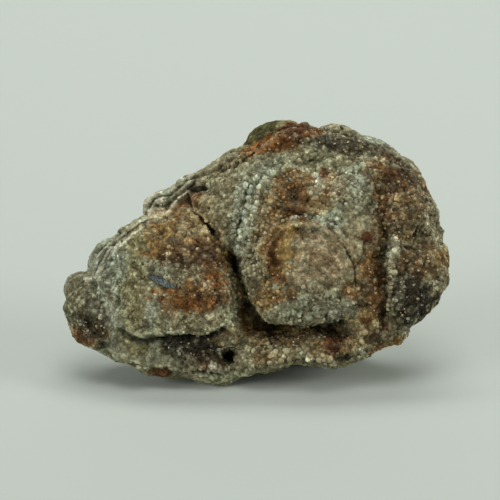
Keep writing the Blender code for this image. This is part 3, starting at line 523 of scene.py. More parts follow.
class Lumps:
    """Packed round lumps over space: how high each place lies, how near a gap, and its lump's tone."""

    def __init__(self, places: Array, size: float, seed: float) -> None:
        """Works the lumps out.

        Args:
            places: Places in millimetres, one row each.
            size: Width of a lump, in millimetres.
            seed: Shifts the lumps, to get another pattern.
        """
        shift = Vector((seed, -seed, 1.9 * seed))
        near, gap, tone = [], [], []
        for place in places:
            distances, seeds = noise.voronoi(Vector(place) / size + shift)
            near.append(distances[0])
            gap.append(distances[1] - distances[0])
            tone.append(seeds[0].dot(Vector((12.99, 78.23, 37.72))))
        self.height = np.sqrt(np.clip(1 - (np.array(near) / 0.8) ** 2, 0, 1)) - 0.6
        self.gap = np.exp(-((np.array(gap) / 0.2) ** 2))
        self.tone = np.modf(np.abs(np.sin(tone)) * 4375.85)[0]


def mesh_places(mesh: Mesh) -> Array:
    """The places of a mesh's vertices, one row each."""
    places = np.zeros(3 * len(mesh.vertices))
    mesh.vertices.foreach_get("co", places)
    return places.reshape(-1, 3)


def set_places(mesh: Mesh, places: Array) -> None:
    """Moves a mesh's vertices to new places."""
    mesh.vertices.foreach_set("co", places.ravel())
    mesh.update()


def evenly_along(route: Route, spacing: float) -> Array:
    """Places at even steps along a route.

    Args:
        route: The route in u and v.
        spacing: The step, in millimetres.

    Returns:
        Places in u and v, one row each.
    """
    stops = np.array(route, float)
    lengths = np.concatenate([[0], np.cumsum(np.linalg.norm(np.diff(stops, axis=0), axis=1))])
    steps = np.linspace(0, lengths[-1], max(2, round(lengths[-1] / spacing) + 1))
    return np.column_stack([np.interp(steps, lengths, stops[:, axis]) for axis in (0, 1)])


def set_numbers(mesh: Mesh, name: str, values: Array) -> None:
    """Stores one number for each vertex, as an attribute of that name."""
    mesh.attributes.new(name, "FLOAT", "POINT").data.foreach_set("value", values.astype(np.float32))


def set_tints(mesh: Mesh, tints: Array) -> None:
    """Stores one colour for each vertex, as the attribute that the finishes read."""
    colours = np.column_stack([tints, np.ones(len(tints))]).astype(np.float32)
    mesh.attributes.new("tint", "FLOAT_COLOR", "POINT").data.foreach_set("color", colours.ravel())


def link_object(name: str, data: bpy.types.ID) -> Object:
    """Makes an object that shows the data, and links it to the scene."""
    made = bpy.data.objects.new(name, data)
    bpy.context.scene.collection.objects.link(made)
    return made


def new_mesh(name: str, bm: bmesh.types.BMesh) -> Mesh:
    """Turns a bmesh into a new mesh, and frees it."""
    mesh = bpy.data.meshes.new(name)
    bm.to_mesh(mesh)
    bm.free()
    return mesh


def baked_mesh(obj: Object, name: str) -> Mesh:
    """Turns an object with its modifiers into a plain mesh, and removes the object.

    Args:
        obj: The object to evaluate.
        name: The new mesh's name.

    Returns:
        The evaluated mesh.
    """
    graph = bpy.context.evaluated_depsgraph_get()
    mesh = bpy.data.meshes.new_from_object(obj.evaluated_get(graph))
    mesh.name = name
    bpy.data.objects.remove(obj)
    return mesh


def settle(piece: Object, material: Material) -> Object:
    """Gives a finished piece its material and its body.

    Args:
        piece: The finished piece.
        material: Its finish.

    Returns:
        The same piece.
    """
    piece.data.materials.clear()
    piece.data.materials.append(material)
    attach(piece, "root")
    triangles = sum(len(face.vertices) - 2 for face in piece.data.polygons)
    LOG.info("%s has %d triangles", piece.name, triangles)
    return piece


@dataclass(frozen=True)
class StainMap:
    """The colours of the stone at any place on it.

    A stain takes on most grains and some resist it, but none resists a strong or a dark stain. Stains
    reach back past the rim of the face, to the rim's depth in millimetres.
    """

    grain: float = 0.75
    resisting: float = 0.5
    strong: float = 0.93
    dark: float = 0.05
    warp: float = 0.45
    rim_depth: float = 7.5
    flecks: float = 0.25
    darkest: float = 0.003

    def tints(
        self, places: Array, facing: Array, away: Array | float = 0.0
    ) -> Array:
        """Colours of the stone.

        Args:
            places: Places in the face frame, in millimetres.
            facing: How much each place looks out of the face, from 0 to 1.
            away: How much each place looks to the back, from 0 to 1.

        Returns:
            Linear colours, one row each.
        """
        broad = fractal(places, 5.0, 2, 3.1)
        ragged = fractal(places, 1.6, 3, 7.7)
        fleck = fractal(places, 0.8, 2, 11.0)
        grains = Lumps(places, self.grain, 4.4)
        warped = places[:, :2] + self.warp * np.column_stack([broad, ragged])
        facing = np.maximum(facing, np.clip((places[:, 2] + self.rim_depth) / 1.5, 0, 0.95) * (1 - away))
        broken = ragged + 1.9 * (grains.tone - 0.5)
        taken = 1 - self.resisting * np.clip((np.modf(7.3 * grains.tone)[0] - 0.72) / 0.1, 0, 1)
        tints = blend(Tint.GREY.linear, Tint.CREAM.linear, np.clip(0.5 + 0.6 * broad, 0, 1)[:, None])
        for tint, ovals in STAINS_AND_PAINTED_SHADE:
            for patch in ovals:
                whole = tint.value[1] < self.dark or patch.strength > self.strong
                share = patch.share(warped, broken) * (1 if whole else taken) * facing
                tints = blend(tints, tint.linear, share[:, None])
        tints = self.weather_back(tints, places, facing, broad, ragged)
        return np.clip(tints * (1 + self.flecks * fleck[:, None]), self.darkest, 1)

    def weather_back(
        self, tints: Array, places: Array, facing: Array, broad: Array,
        ragged: Array,
    ) -> Array:
        """Greys the back and the edges of the stone, with some rust, and greens its crown.

        Args:
            tints: Colours so far.
            places: Places in the face frame, in millimetres.
            facing: How much each place looks out of the face, from 0 to 1.
            broad: Broad noise at each place.
            ragged: Finer noise at each place.

        Returns:
            The colours with the back's own tones.
        """
        mix = np.clip(0.7 + 0.8 * broad + 0.5 * ragged, 0, 1)[:, None]
        behind = (1 - facing)[:, None]
        tints = blend(tints, blend(Tint.SLATE.linear, Tint.PALE_GREEN.linear, mix), behind)
        stained = 0.6 * np.clip(2.4 * broad - 0.7 + 0.6 * ragged, 0, 1)[:, None] * behind
        mossy = CROWN.share(places[:, :2], 0.5 * ragged) * np.clip(2 * facing, 0, 1)
        return blend(blend(tints, Tint.RUST.linear, stained), Tint.MOSS.linear, mossy[:, None])

    def mottled_with_gap_shade(
        self, tints: Array, lumps: Lumps, strength: Array, specks: Array | float = 0.0
    ) -> Array:
        """Gives each lump its own tone, and darkens the gaps between lumps: partly their own brown, partly
        painted shade in those creases.

        Args:
            tints: Colours so far.
            lumps: The lumps of these places.
            strength: How strongly they tell at each place, from 0 to 1.
            specks: How much the palest lumps turn to clear quartz, from 0 to 1.

        Returns:
            The mottled colours.
        """
        factors = [np.interp(lumps.tone, TONE_STOPS, column) for column in zip(*TONE_FACTORS)]
        tints = tints * (1 + (np.column_stack(factors) - 1) * strength[:, None])
        clear = specks * strength * np.clip((lumps.tone - 0.88) / 0.06, 0, 1) * 0.8
        tints = blend(tints, np.array(SPECK), clear[:, None])
        # Painted shade: the gaps between lumps are pulled toward the seam brown
        return blend(tints, 0.3 * tints + 0.7 * np.array(SEAM_AND_GAP_SHADE), (strength * lumps.gap)[:, None])

    def coats(self, places: Array) -> dict[Coat, Array]:
        """Which coat covers each place.

        Args:
            places: Places in the face frame, in millimetres.

        Returns:
            For each coat, its share from 0 to 1 at each place.
        """
        ragged = fractal(places, 1.9, 2, 5.0)
        shares = {coat: np.zeros(len(places)) for coat in Coat}
        for coat, patch in COATS:
            share = np.clip(1.6 * patch.share(places[:, :2], ragged), 0, 1)
            for other in shares:
                shares[other] *= 1 - share
            shares[coat] += share
        return shares


@dataclass(frozen=True)
class Texture:
    """How the skin is lumped under one coat: lump size and height in mm, and how much lumps, sugar grains
    and clear specks differ in tone; mottling and speckling also set how dark the painted shade in the gaps
    between lumps is."""

    lump_size: float
    lump_height: float
    mottling: float
    speckling: float
    specks: float


TEXTURES: dict[Coat, Texture] = {
    Coat.COARSE: Texture(1.45, 0.5, 0.7, 0.75, 0.1),
    Coat.MEDIUM: Texture(1.3, 0.4, 0.7, 0.45, 0.05),
    Coat.FINE: Texture(0.95, 0.2, 0.5, 0.8, 0.25),
    Coat.SMOOTH: Texture(1.5, 0.24, 0.5, 0.5, 0.0),
    Coat.POINTS: Texture(1.3, 0.4, 0.75, 0.95, 0.3),
}


@dataclass
class Skin:
    """The stone's own surface: its grown form with lumps, cracks and pores. Sizes are in millimetres."""

    face: FaceFrame
    stains: StainMap
    voxel: float = 0.28
    back_thinning: float = 0.7
    line_margin: float = 0.2
    sugar_size: float = 0.6
    sugar_height: float = 0.17
    pore_size: float = 0.9
    pore_depth: float = 0.35
    growth_line: float = 0.8
    growth_height: float = 0.13
    growth_shade: float = 0.35
    foot_height: float = 0.12
    clear_of_foot: float = 0.7
    reach: float = 20.0
    mesh: Mesh = field(default=None, repr=False)

    def refine(self) -> Mesh:
        """Makes an even, fine mesh from a merged copy of the solid's.

        Returns:
            The mesh, in metres in the row frame.
        """
        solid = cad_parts[NODE].data.copy()
        bm = bmesh.new()
        bm.from_mesh(solid)
        bmesh.ops.remove_doubles(bm, verts=bm.verts, dist=1e-7)
        bm.to_mesh(solid)
        bm.free()
        solid.materials.clear()
        base = link_object("skin_base", solid)
        rounding = base.modifiers.new("rounding", "SUBSURF")
        rounding.levels = rounding.render_levels = 2
        even = base.modifiers.new("even", "REMESH")
        even.mode = "VOXEL"
        even.voxel_size = self.voxel * MILLIMETRE
        return self.with_fine_lines(self.with_thin_back(baked_mesh(base, "even_skin")))

    def with_thin_back(self, mesh: Mesh) -> Mesh:
        """Thins the mesh on the stone's back, where less is seen.

        Args:
            mesh: The even mesh.

        Returns:
            The thinner mesh.
        """
        _, facing = self.facing(mesh, self.face.from_row(mesh_places(mesh)))
        base = link_object("thinned_base", mesh)
        group = base.vertex_groups.new(name="back")
        group.add(np.flatnonzero(facing <= 0.01).tolist(), 1.0, "REPLACE")
        thin = base.modifiers.new("thin", "DECIMATE")
        thin.ratio = self.back_thinning
        thin.vertex_group = group.name
        thin.use_collapse_triangulate = True
        return baked_mesh(base, "stone_skin")

    def with_fine_lines(self, mesh: Mesh) -> Mesh:
        """Refines the mesh along the cracks, so that they are cut thin.

        Args:
            mesh: The mesh so far.

        Returns:
            The same mesh, with smaller faces along the cracks.
        """
        places = self.face.from_row(mesh_places(mesh))
        _, facing = self.facing(mesh, places)
        near = np.zeros(len(places))
        for line in (*CRACKS, *LIPS):
            wide = Line(line.route, line.half_width + self.line_margin, 0)
            near = np.maximum(near, wide.closeness(places[:, :2]) * (facing > 0.2))
        bm = bmesh.new()
        bm.from_mesh(mesh)
        edges = [edge for edge in bm.edges if all(near[vert.index] > 0.3 for vert in edge.verts)]
        bmesh.ops.subdivide_edges(bm, edges=edges, cuts=1, use_grid_fill=True)
        bmesh.ops.triangulate(bm, faces=[part for part in bm.faces if len(part.verts) > 3])
        bm.to_mesh(mesh)
        bm.free()
        return mesh

    def facing(self, mesh: Mesh, places: Array) -> tuple[Array, Array]:
        """Finds which way the skin looks.

        Args:
            mesh: The skin's mesh.
            places: Its vertices in the face frame.

        Returns:
            The normals in the face frame, and how much each looks out of the face, from 0 to 1.
        """
        normals = np.zeros(3 * len(places))
        mesh.vertices.foreach_get("normal", normals)
        normals = normals.reshape(-1, 3) @ self.face.axes.T
        outward = np.clip((normals[:, 2] + 0.25) / 0.45, 0, 1)
        ahead = np.clip((places[:, 2] + 2.6) / 1.6, 0, 1)
        return normals, outward * ahead

    def line_work_with_crack_shade(
        self, tints: Array, places: Array, facing: Array
    ) -> tuple[Array, Array, Array]:
        """Adds the cracks and the lips, and darkens the cracks by how deep they are cut: partly their own
        dark seams, partly painted shade.

        Args:
            tints: Colours so far.
            places: Places in the face frame.
            facing: How much each looks out of the face.

        Returns:
            The colours with the lines, the lines' rise in millimetres, and how dark the cracks' painted
            shade is.
        """
        rise, dark = np.zeros(len(places)), np.zeros(len(places))
        wobble = 0.16 * np.column_stack([fractal(places, 1.2, 2, seed) for seed in (21.0, 27.0)])
        ragged = np.clip(1 + 0.9 * fractal(places, 1.3, 2, 33.0), 0.1, 1.6)
        shifted = places[:, :2] + wobble
        seen = np.clip(1.6 * facing, 0, 1)
        for lip in LIPS:
            close = np.clip(lip.closeness(shifted) * ragged * seen, 0, 1)
            rise = np.maximum(rise, lip.rise * close)
            tints = blend(tints, 0.35 * tints + 0.8 * lip.tint.linear, (0.75 * close**0.7)[:, None])
        for crust in CRUSTS:
            rise = np.maximum(rise, crust.rise * crust.closeness(shifted))
        for line in CRACKS:
            close = line.closeness(shifted) * seen * np.clip(0.3 + 0.7 * ragged, 0, 1)
            rise = np.minimum(rise, line.rise * close)
            # Painted shade: each crack is darkened more the deeper it is cut
            dark = np.maximum(dark, close * min(1, -1.6 * line.rise))
        return tints * (1 - 0.8 * dark[:, None]), rise, dark

    def build(self) -> Object:
        """Makes the skin as a piece.

        Returns:
            The skin's object, with its tints and the masks of its coats.
        """
        mesh = self.refine()
        places = self.face.from_row(mesh_places(mesh))
        normals, facing = self.facing(mesh, places)
        shares = self.stains.coats(places)
        tints = self.stains.tints(places, facing, np.clip(-3 * normals[:, 2] - 0.6, 0, 1))
        rise, gaps = np.zeros(len(places)), np.zeros(len(places))
        for number, (coat, texture) in enumerate(TEXTURES.items()):
            lumps = Lumps(places, texture.lump_size, 1.3 + number)
            strength = shares[coat] * (0.35 + 0.65 * facing)
            rise += texture.lump_height * lumps.height * strength
            tints = self.stains.mottled_with_gap_shade(tints, lumps, strength * texture.mottling, texture.specks)
            gaps = np.maximum(gaps, lumps.gap * strength)
        sugar = Lumps(places, self.sugar_size, 8.8)
        rise += self.sugar_height * sugar.height
        specks = sum(texture.specks * shares[coat] for coat, texture in TEXTURES.items()) * facing
        speckling = sum(texture.speckling * shares[coat] for coat, texture in TEXTURES.items())
        tints = self.stains.mottled_with_gap_shade(tints, sugar, 0.3 + (speckling - 0.3) * facing, specks)
        pores = np.clip(fractal(places, self.pore_size, 3, 9.0) - 0.35, 0, 1)
        rise -= self.pore_depth * pores * (0.4 + 0.6 * facing)
        growth = places[:, 2] + 0.7 * fractal(places, 6.0, 2, 2.0)
        wave = np.sin(math.tau * growth / self.growth_line)
        rise += self.growth_height * wave * (1 - facing)
        tints *= (1 + self.growth_shade * wave * (1 - facing))[:, None]
        # dark is how strongly the cracks are darkened with painted shade
        tints, cut, dark = self.line_work_with_crack_shade(tints, places, facing)
        places = places + normals * (rise + cut)[:, None]
        row = self.face.to_row(places)
        row[:, 2] = np.where(row[:, 2] < self.foot_height * MILLIMETRE, 0.0, row[:, 2])
        set_places(mesh, row)
        set_tints(mesh, tints)
        open_ground = (1 - dark) * (1 - 0.5 * gaps) * facing
        open_ground *= np.clip(row[:, 2] / MILLIMETRE / self.clear_of_foot - 0.5, 0, 1)
        open_ground *= 1 - LENS.closeness(places[:, :2])
        for coat, share in shares.items():
            square = np.clip(2.5 * normals[:, 2] - 0.6, 0, 1) if coat is Coat.POINTS else 1.0
            set_numbers(mesh, coat.value, np.where(share > 0.5, open_ground * square, 0.0))
        mesh.shade_smooth()
        self.mesh = mesh
        return link_object("stone_skin", mesh)

    def search_tree(self) -> BVHTree:
        """A tree of the finished skin, to be searched with rays."""
        bm = bmesh.new()
        bm.from_mesh(self.mesh)
        tree = BVHTree.FromBMesh(bm)
        bm.free()
        return tree

    def drop(self, tree: BVHTree, flat: Array) -> Array:
        """Drops places of the face on the skin, along the face's own direction.

        Args:
            tree: The skin's search tree.
            flat: Places in u and v, one row each.

        Returns:
            Those of the places that meet the skin, in the face frame.
        """
        starts = self.face.to_row(np.column_stack([flat, np.full(len(flat), self.reach)]))
        inward = Vector(-self.face.axes[2])
        hits = [tree.ray_cast(Vector(start), inward)[0] for start in starts]
        return self.face.from_row(np.array([hit for hit in hits if hit is not None]))


class NodeGraph:
    """A small helper that adds nodes to a tree and joins their sockets."""

    def __init__(self, tree: NodeTree) -> None:
        """Keeps the tree to add to."""
        self.tree = tree

    @classmethod
    def group(
        cls, name: str, kind: str, inputs: tuple[tuple, ...], output: tuple
    ) -> tuple["NodeGraph", Sockets]:
        """Starts a node group.

        Args:
            name: The group's name.
            kind: The type name of its tree.
            inputs: For each input its name, the end of its socket's type name and its default.
            output: The same for its one output.

        Returns:
            The group's graph, and the sockets that give its inputs.
        """
        tree = bpy.data.node_groups.new(name, kind)
        for way, rows in (("INPUT", inputs), ("OUTPUT", (output,))):
            for label, socket, value in rows:
                made = tree.interface.new_socket(label, in_out=way, socket_type=f"NodeSocket{socket}")
                if value is not None:
                    made.default_value = value
        graph = cls(tree)
        return graph, graph.add("NodeGroupInput").outputs

    def add(self, kind: str, inputs: dict | None = None, **settings: object) -> Node:
        """Adds a node.

        Args:
            kind: The node's type name.
            inputs: What its input sockets get, by name or number, as for fill.
            settings: Values of the node's own properties.

        Returns:
            The new node.
        """
        node = self.tree.nodes.new(kind)
        for name, value in settings.items():
            setattr(node, name, value)
        self.fill(node, inputs or {})
        return node

    def fill(self, node: Node, inputs: dict) -> None:
        """Joins or sets a node's input sockets.

        Args:
            node: The node.
            inputs: For each input, by name or number, the socket that it is joined to or its value.
        """
        for name, value in inputs.items():
            if isinstance(value, Socket):
                self.tree.links.new(value, node.inputs[name])
            else:
                node.inputs[name].default_value = value

    def through(
        self, kind: str, shape: Socket, inputs: dict | None = None, **settings: object
    ) -> Socket:
        """Sends a shape through a new node, and gives the socket with what becomes of it."""
        return self.add(kind, {"Geometry": shape, **(inputs or {})}, **settings).outputs["Geometry"]

    def math(self, operation: str, first: Socket, second: Socket | float) -> Socket:
        """Adds a node that reckons with two numbers, and gives its result."""
        return self.add("ShaderNodeMath", {0: first, 1: second}, operation=operation).outputs[0]

    def vector(self, operation: str, first: Socket | Triple, second: Socket | Triple) -> Socket:
        """The same for two vectors, or for a vector and the number that scales it."""
        inputs = {0: first, "Scale" if operation == "SCALE" else 1: second}
        return self.add("ShaderNodeVectorMath", inputs, operation=operation).outputs["Vector"]

    def between(self, value: Socket, **limits: Socket | float) -> Socket:
        """Maps a number between limits, each named as its socket with _ for a space."""
        inputs = {"Value": value, **{name.replace("_", " "): limit for name, limit in limits.items()}}
        return self.add("ShaderNodeMapRange", inputs).outputs["Result"]

    def mix(self, share: Socket, first: Socket, second: Socket | tuple) -> Socket:
        """Mixes two colours by the share of the second."""
        inputs = {"Factor": share, 6: first, 7: second}
        return self.add("ShaderNodeMix", inputs, data_type="RGBA").outputs[2]

    def cells(self, scale: Socket, feature: str = "F1") -> Sockets:
        """Divides the object's own space into cells, and gives the cells' outputs."""
        place = self.add("ShaderNodeTexCoord").outputs["Object"]
        return self.add("ShaderNodeTexVoronoi", {"Vector": place, "Scale": scale}, feature=feature).outputs

    def first_part(self, colour: Socket) -> Socket:
        """The red part of a colour, which serves as a random number of each cell."""
        return self.add("ShaderNodeSeparateColor", {"Color": colour}).outputs["Red"]

    def toned(self, colour: Socket, tone: Socket, swing: float = 1.0) -> Socket:
        """Gives a colour the tone of its grain.

        Args:
            colour: The colour so far.
            tone: The grain's tone, from 0 to 1.
            swing: How strongly the tones tell, 1 for fully.

        Returns:
            The toned colour.
        """
        ramp = self.add("ShaderNodeValToRGB", {"Fac": tone})
        stops = ramp.color_ramp.elements
        while len(stops) < len(TONE_STOPS):
            stops.new(0.5)
        for stop, place, factors in zip(stops, TONE_STOPS, TONE_FACTORS):
            stop.position = place
            stop.color = (*(1 + (part - 1) * swing for part in factors), 1)
        return self.vector("MULTIPLY", colour, ramp.outputs["Color"])


class GrainShape(Enum):
    """The shape of one grain of a coat."""

    BEAD = "bead"
    SUGAR = "sugar"
    POINT = "point"


@dataclass(frozen=True)
class Druse:
    """A coat of fine grains that grows where its mask lies on the skin. Sizes are in millimetres."""

    name: str
    coat: Coat
    shape: GrainShape
    spacing: float
    smallest: float
    largest: float
    sink: float
    tilt: float
    seed: int
    rarity: float = 2.0
    roughening: float = 0.03

    def grain(self, graph: NodeGraph) -> Socket:
        """Adds the shape of one grain, of radius one.

        Args:
            graph: The tree to add it to.

        Returns:
            The socket that holds the grain.
        """
        if self.shape is GrainShape.BEAD:
            sizes = {"Segments": 7, "Rings": 5, "Radius": 1.0}
            return graph.add("GeometryNodeMeshUVSphere", sizes).outputs["Mesh"]
        if self.shape is GrainShape.SUGAR:
            return graph.add("GeometryNodeMeshIcoSphere", {"Radius": 1.0, "Subdivisions": 1}).outputs["Mesh"]
        tip, shank = (
            graph.add(
                "GeometryNodeMeshCone",
                {"Vertices": 6, "Radius Top": top, "Radius Bottom": bottom, "Depth": depth},
                fill_type="NONE",
            ).outputs["Mesh"]
            for top, bottom, depth in ((0.0, 0.75, 0.9), (0.75, 0.7, 0.6))
        )
        lifted = graph.through("GeometryNodeTransform", tip, {"Translation": (0, 0, 0.6)})
        both = graph.add("GeometryNodeJoinGeometry", {"Geometry": lifted})
        graph.fill(both, {"Geometry": shank})
        return both.outputs["Geometry"]

    def tree(self, material: Material) -> NodeTree:
        """Builds the tree that scatters the grains.

        Args:
            material: The grains' finish.

        Returns:
            The tree, with its sizes as named inputs.
        """
        numbers = ("Spacing", "Smallest", "Largest", "Rarity", "Sink", "Tilt", "Roughening")
        whole = ("Geometry", "Geometry", None)
        sizes = tuple((name, "Float", 0.0) for name in numbers)
        graph, given = NodeGraph.group(
            self.name, "GeometryNodeTree",
            (whole, *sizes, ("Mask", "String", None), ("Seed", "Int", 0)), whole,
        )
        mask = graph.add("GeometryNodeInputNamedAttribute", {"Name": given["Mask"]}, data_type="FLOAT")
        scatter = graph.add("GeometryNodeDistributePointsOnFaces", distribute_method="POISSON")
        graph.fill(scatter, {
            "Mesh": given["Geometry"], "Distance Min": given["Spacing"], "Density Max": 4e7,
            "Density Factor": mask.outputs["Attribute"], "Seed": given["Seed"],
        })
        self.finish(graph, given, self.placed_grains(graph, given, scatter.outputs), material)
        return graph.tree

    def placed_grains(self, graph: NodeGraph, given: Sockets, scattered: Sockets) -> Socket:
        """Sinks the points into the skin and puts a turned and sized grain on each.

        Args:
            graph: The tree.
            given: The tree's inputs.
            scattered: The points, with their normals and rotations.

        Returns:
            The socket that holds the grains.
        """
        inward = graph.vector("SCALE", scattered["Normal"], graph.math("MULTIPLY", given["Sink"], -1.0))
        points = graph.through("GeometryNodeSetPosition", scattered["Points"], {"Offset": inward})
        least, most = (graph.vector("SCALE", (way, way, way * math.pi), given["Tilt"]) for way in (-1, 1))
        lean = graph.add(
            "FunctionNodeRandomValue", {0: least, 1: most, "Seed": given["Seed"]}, data_type="FLOAT_VECTOR"
        )
        turned = graph.add(
            "FunctionNodeRotateRotation",
            {"Rotation": scattered["Rotation"], "Rotate By": lean.outputs[0]}, rotation_space="LOCAL",
        )
        chance = graph.add("FunctionNodeRandomValue", {"Seed": given["Seed"]}, data_type="FLOAT")
        skewed = graph.math("POWER", chance.outputs[1], given["Rarity"])
        size = graph.between(skewed, To_Min=given["Smallest"], To_Max=given["Largest"])
        squat = graph.add("FunctionNodeRandomValue", data_type="FLOAT_VECTOR")
        graph.fill(squat, {0: (0.8, 0.8, 0.7), 1: (1.2, 1.2, 1.15)})
        return graph.add("GeometryNodeInstanceOnPoints", {
            "Points": points, "Instance": self.grain(graph), "Rotation": turned.outputs["Rotation"],
            "Scale": graph.vector("SCALE", squat.outputs[0], size),
        }).outputs["Instances"]

    def finish(
        self, graph: NodeGraph, given: Sockets, grains: Socket, material: Material
    ) -> None:
        """Gives each grain its own tone, melts them into one mesh and roughens it.

        Args:
            graph: The tree.
            given: The tree's inputs.
            grains: The placed grains.
            material: Their finish.
        """
        tone = graph.add("FunctionNodeRandomValue", {"Seed": self.seed + 50}, data_type="FLOAT")
        shape = graph.through(
            "GeometryNodeStoreNamedAttribute", grains, {"Name": "grain_tone", "Value": tone.outputs[1]},
            data_type="FLOAT", domain="INSTANCE",
        )
        shape = graph.through("GeometryNodeRealizeInstances", shape)
        rough = graph.add("ShaderNodeTexNoise", {"Scale": 2200.0, "Detail": 1.0}).outputs["Color"]
        offset = graph.vector("SCALE", graph.vector("SUBTRACT", rough, (0.5, 0.5, 0.5)), given["Roughening"])
        shape = graph.through("GeometryNodeSetPosition", shape, {"Offset": offset})
        smooth = {"Shade Smooth": self.shape is GrainShape.BEAD}
        shape = graph.through("GeometryNodeSetShadeSmooth", shape, smooth)
        shape = graph.through("GeometryNodeSetMaterial", shape, {"Material": material})
        graph.add("NodeGroupOutput", {"Geometry": shape})

    def build(self, skin: Skin, material: Material) -> Object:
        """Grows the coat on the skin.

        Args:
            skin: The skin, already built.
            material: The grains' finish.

        Returns:
            The coat as one piece.
        """
        ground = link_object("ground", skin.mesh.copy())
        grow = ground.modifiers.new("grow", "NODES")
        grow.node_group = self.tree(material)
        values = {
            "Spacing": self.spacing * MILLIMETRE, "Smallest": self.smallest * MILLIMETRE,
            "Largest": self.largest * MILLIMETRE, "Sink": self.sink * MILLIMETRE,
            "Tilt": self.tilt, "Roughening": self.roughening * MILLIMETRE, "Rarity": self.rarity,
            "Mask": self.coat.value, "Seed": self.seed,
        }
        for item in grow.node_group.interface.items_tree:
            if item.in_out == "INPUT" and item.name in values:
                grow[item.identifier] = values[item.name]
        return link_object(self.name, baked_mesh(ground, self.name))


@dataclass
class BeadRows:
    """Rows of round beads along the edges of the growths, and in arcs over the main lobe."""

    skin: Skin
    tree: BVHTree
    segments: int = 8
    rings: int = 6
    own_tint: float = 0.6
    scatter: float = 0.16
    dents: float = 0.09

    def unit_bead(self) -> Mesh:
        """A round bead of radius one."""
        ball = bmesh.new()
        bmesh.ops.create_uvsphere(ball, u_segments=self.segments, v_segments=self.rings, radius=1)
        return new_mesh("unit_bead", ball)

    def rows(self) -> list[tuple[Route, float, float, Tint | None]]:
        """Every row's route, bead radius, spacing and tint; the lobe's arcs have no tint of their own."""
        heart, outline = np.array(LOBE_HEART), np.array(LOBE_ARC)
        arcs = [heart + (outline - heart) * share for share in LOBE_ARC_SHARES]
        return [*BEAD_ROWS, *((arc, LOBE_BEAD_RADIUS, LOBE_BEAD_SPACING, None) for arc in arcs)]

    def build(self) -> Object:
        """Makes all the rows as one piece.

        Returns:
            The rows' object.
        """
        unit = self.unit_bead()
        shape = mesh_places(unit)
        beads, tints, tones = bmesh.new(), [], []
        random = np.random.default_rng(41)
        for route, radius, spacing, tint in self.rows():
            flat = evenly_along(route, spacing)
            flat = flat + random.normal(scale=self.scatter * radius, size=flat.shape)
            places = self.skin.drop(self.tree, flat)
            grounds = self.skin.stains.tints(places, np.ones(len(places)))
            for place, ground in zip(places, grounds):
                size = radius * random.uniform(0.7, 1.2) * random.uniform(0.85, 1.15, 3)
                sunk = place - (0, 0, 0.5 * radius)
                bead = unit.copy()
                set_places(bead, self.skin.face.to_row(shape * size + sunk))
                beads.from_mesh(bead)
                bpy.data.meshes.remove(bead)
                own = ground if tint is None else tint.linear
                tints.append(np.tile(ground + (own - ground) * self.own_tint, (len(shape), 1)))
                tones.append(np.full(len(shape), random.uniform()))
        bmesh.ops.recalc_face_normals(beads, faces=beads.faces)
        mesh = new_mesh("bead_rows", beads)
        places = self.skin.face.from_row(mesh_places(mesh))
        places += self.dents * np.column_stack([fractal(places, 0.5, 2, seed) for seed in (1.0, 4.0, 9.0)])
        set_places(mesh, self.skin.face.to_row(places))
        set_tints(mesh, np.vstack(tints))
        set_numbers(mesh, "grain_tone", np.concatenate(tones))
        mesh.shade_smooth()
        return link_object("bead_rows", mesh)


@dataclass
class DarkLens:
    """The blue-black lens that lies bare in the left petal, as a smooth almond."""

    skin: Skin
    tree: BVHTree
    half_length: float = 2.2
    half_width: float = 0.68
    crown: float = 0.12
    lift: float = 0.24
    rim_drop: float = 0.35
    columns: int = 36
    rows: int = 10

    def build(self) -> Object:
        """Makes the lens as a piece.

        Returns:
            The lens's object.
        """
        along, over = np.meshgrid(np.linspace(-1, 1, self.columns + 1), np.linspace(-1, 1, self.rows + 1))
        waist = self.half_width * (1 - np.abs(along) ** 1.7) + 0.03
        flat = LENS.place(self.half_length * along.ravel(), (waist * over).ravel())
        ground = self.skin.drop(self.tree, flat)
        fit = np.column_stack([np.ones(len(ground)), ground[:, :2]])
        plane = np.linalg.lstsq(fit, ground[:, 2], rcond=None)[0]
        level = np.column_stack([np.ones(len(flat)), flat]) @ plane
        bulge = self.crown * (1 - over.ravel() ** 2) * (1 - along.ravel() ** 2)
        edge = np.where(np.abs(over.ravel()) > 0.99, self.rim_drop, 0.0)
        places = np.column_stack([flat, level + self.lift + bulge - edge])
        bm = bmesh.new()
        verts = np.array([bm.verts.new(place) for place in self.skin.face.to_row(places)], object)
        grid = verts.reshape(self.rows + 1, self.columns + 1)
        for row, column in np.ndindex(self.rows, self.columns):
            low, high = grid[row, column:column + 2], grid[row + 1, column:column + 2]
            bm.faces.new((*low, *high[::-1]))
        bm.faces.new((*grid[0], *grid[1:, -1], *grid[-1, -2::-1], *grid[-2:0:-1, 0]))
        bmesh.ops.recalc_face_normals(bm, faces=bm.faces)
        mesh = new_mesh("dark_lens", bm)
        mesh.shade_smooth()
        return link_object("dark_lens", mesh)


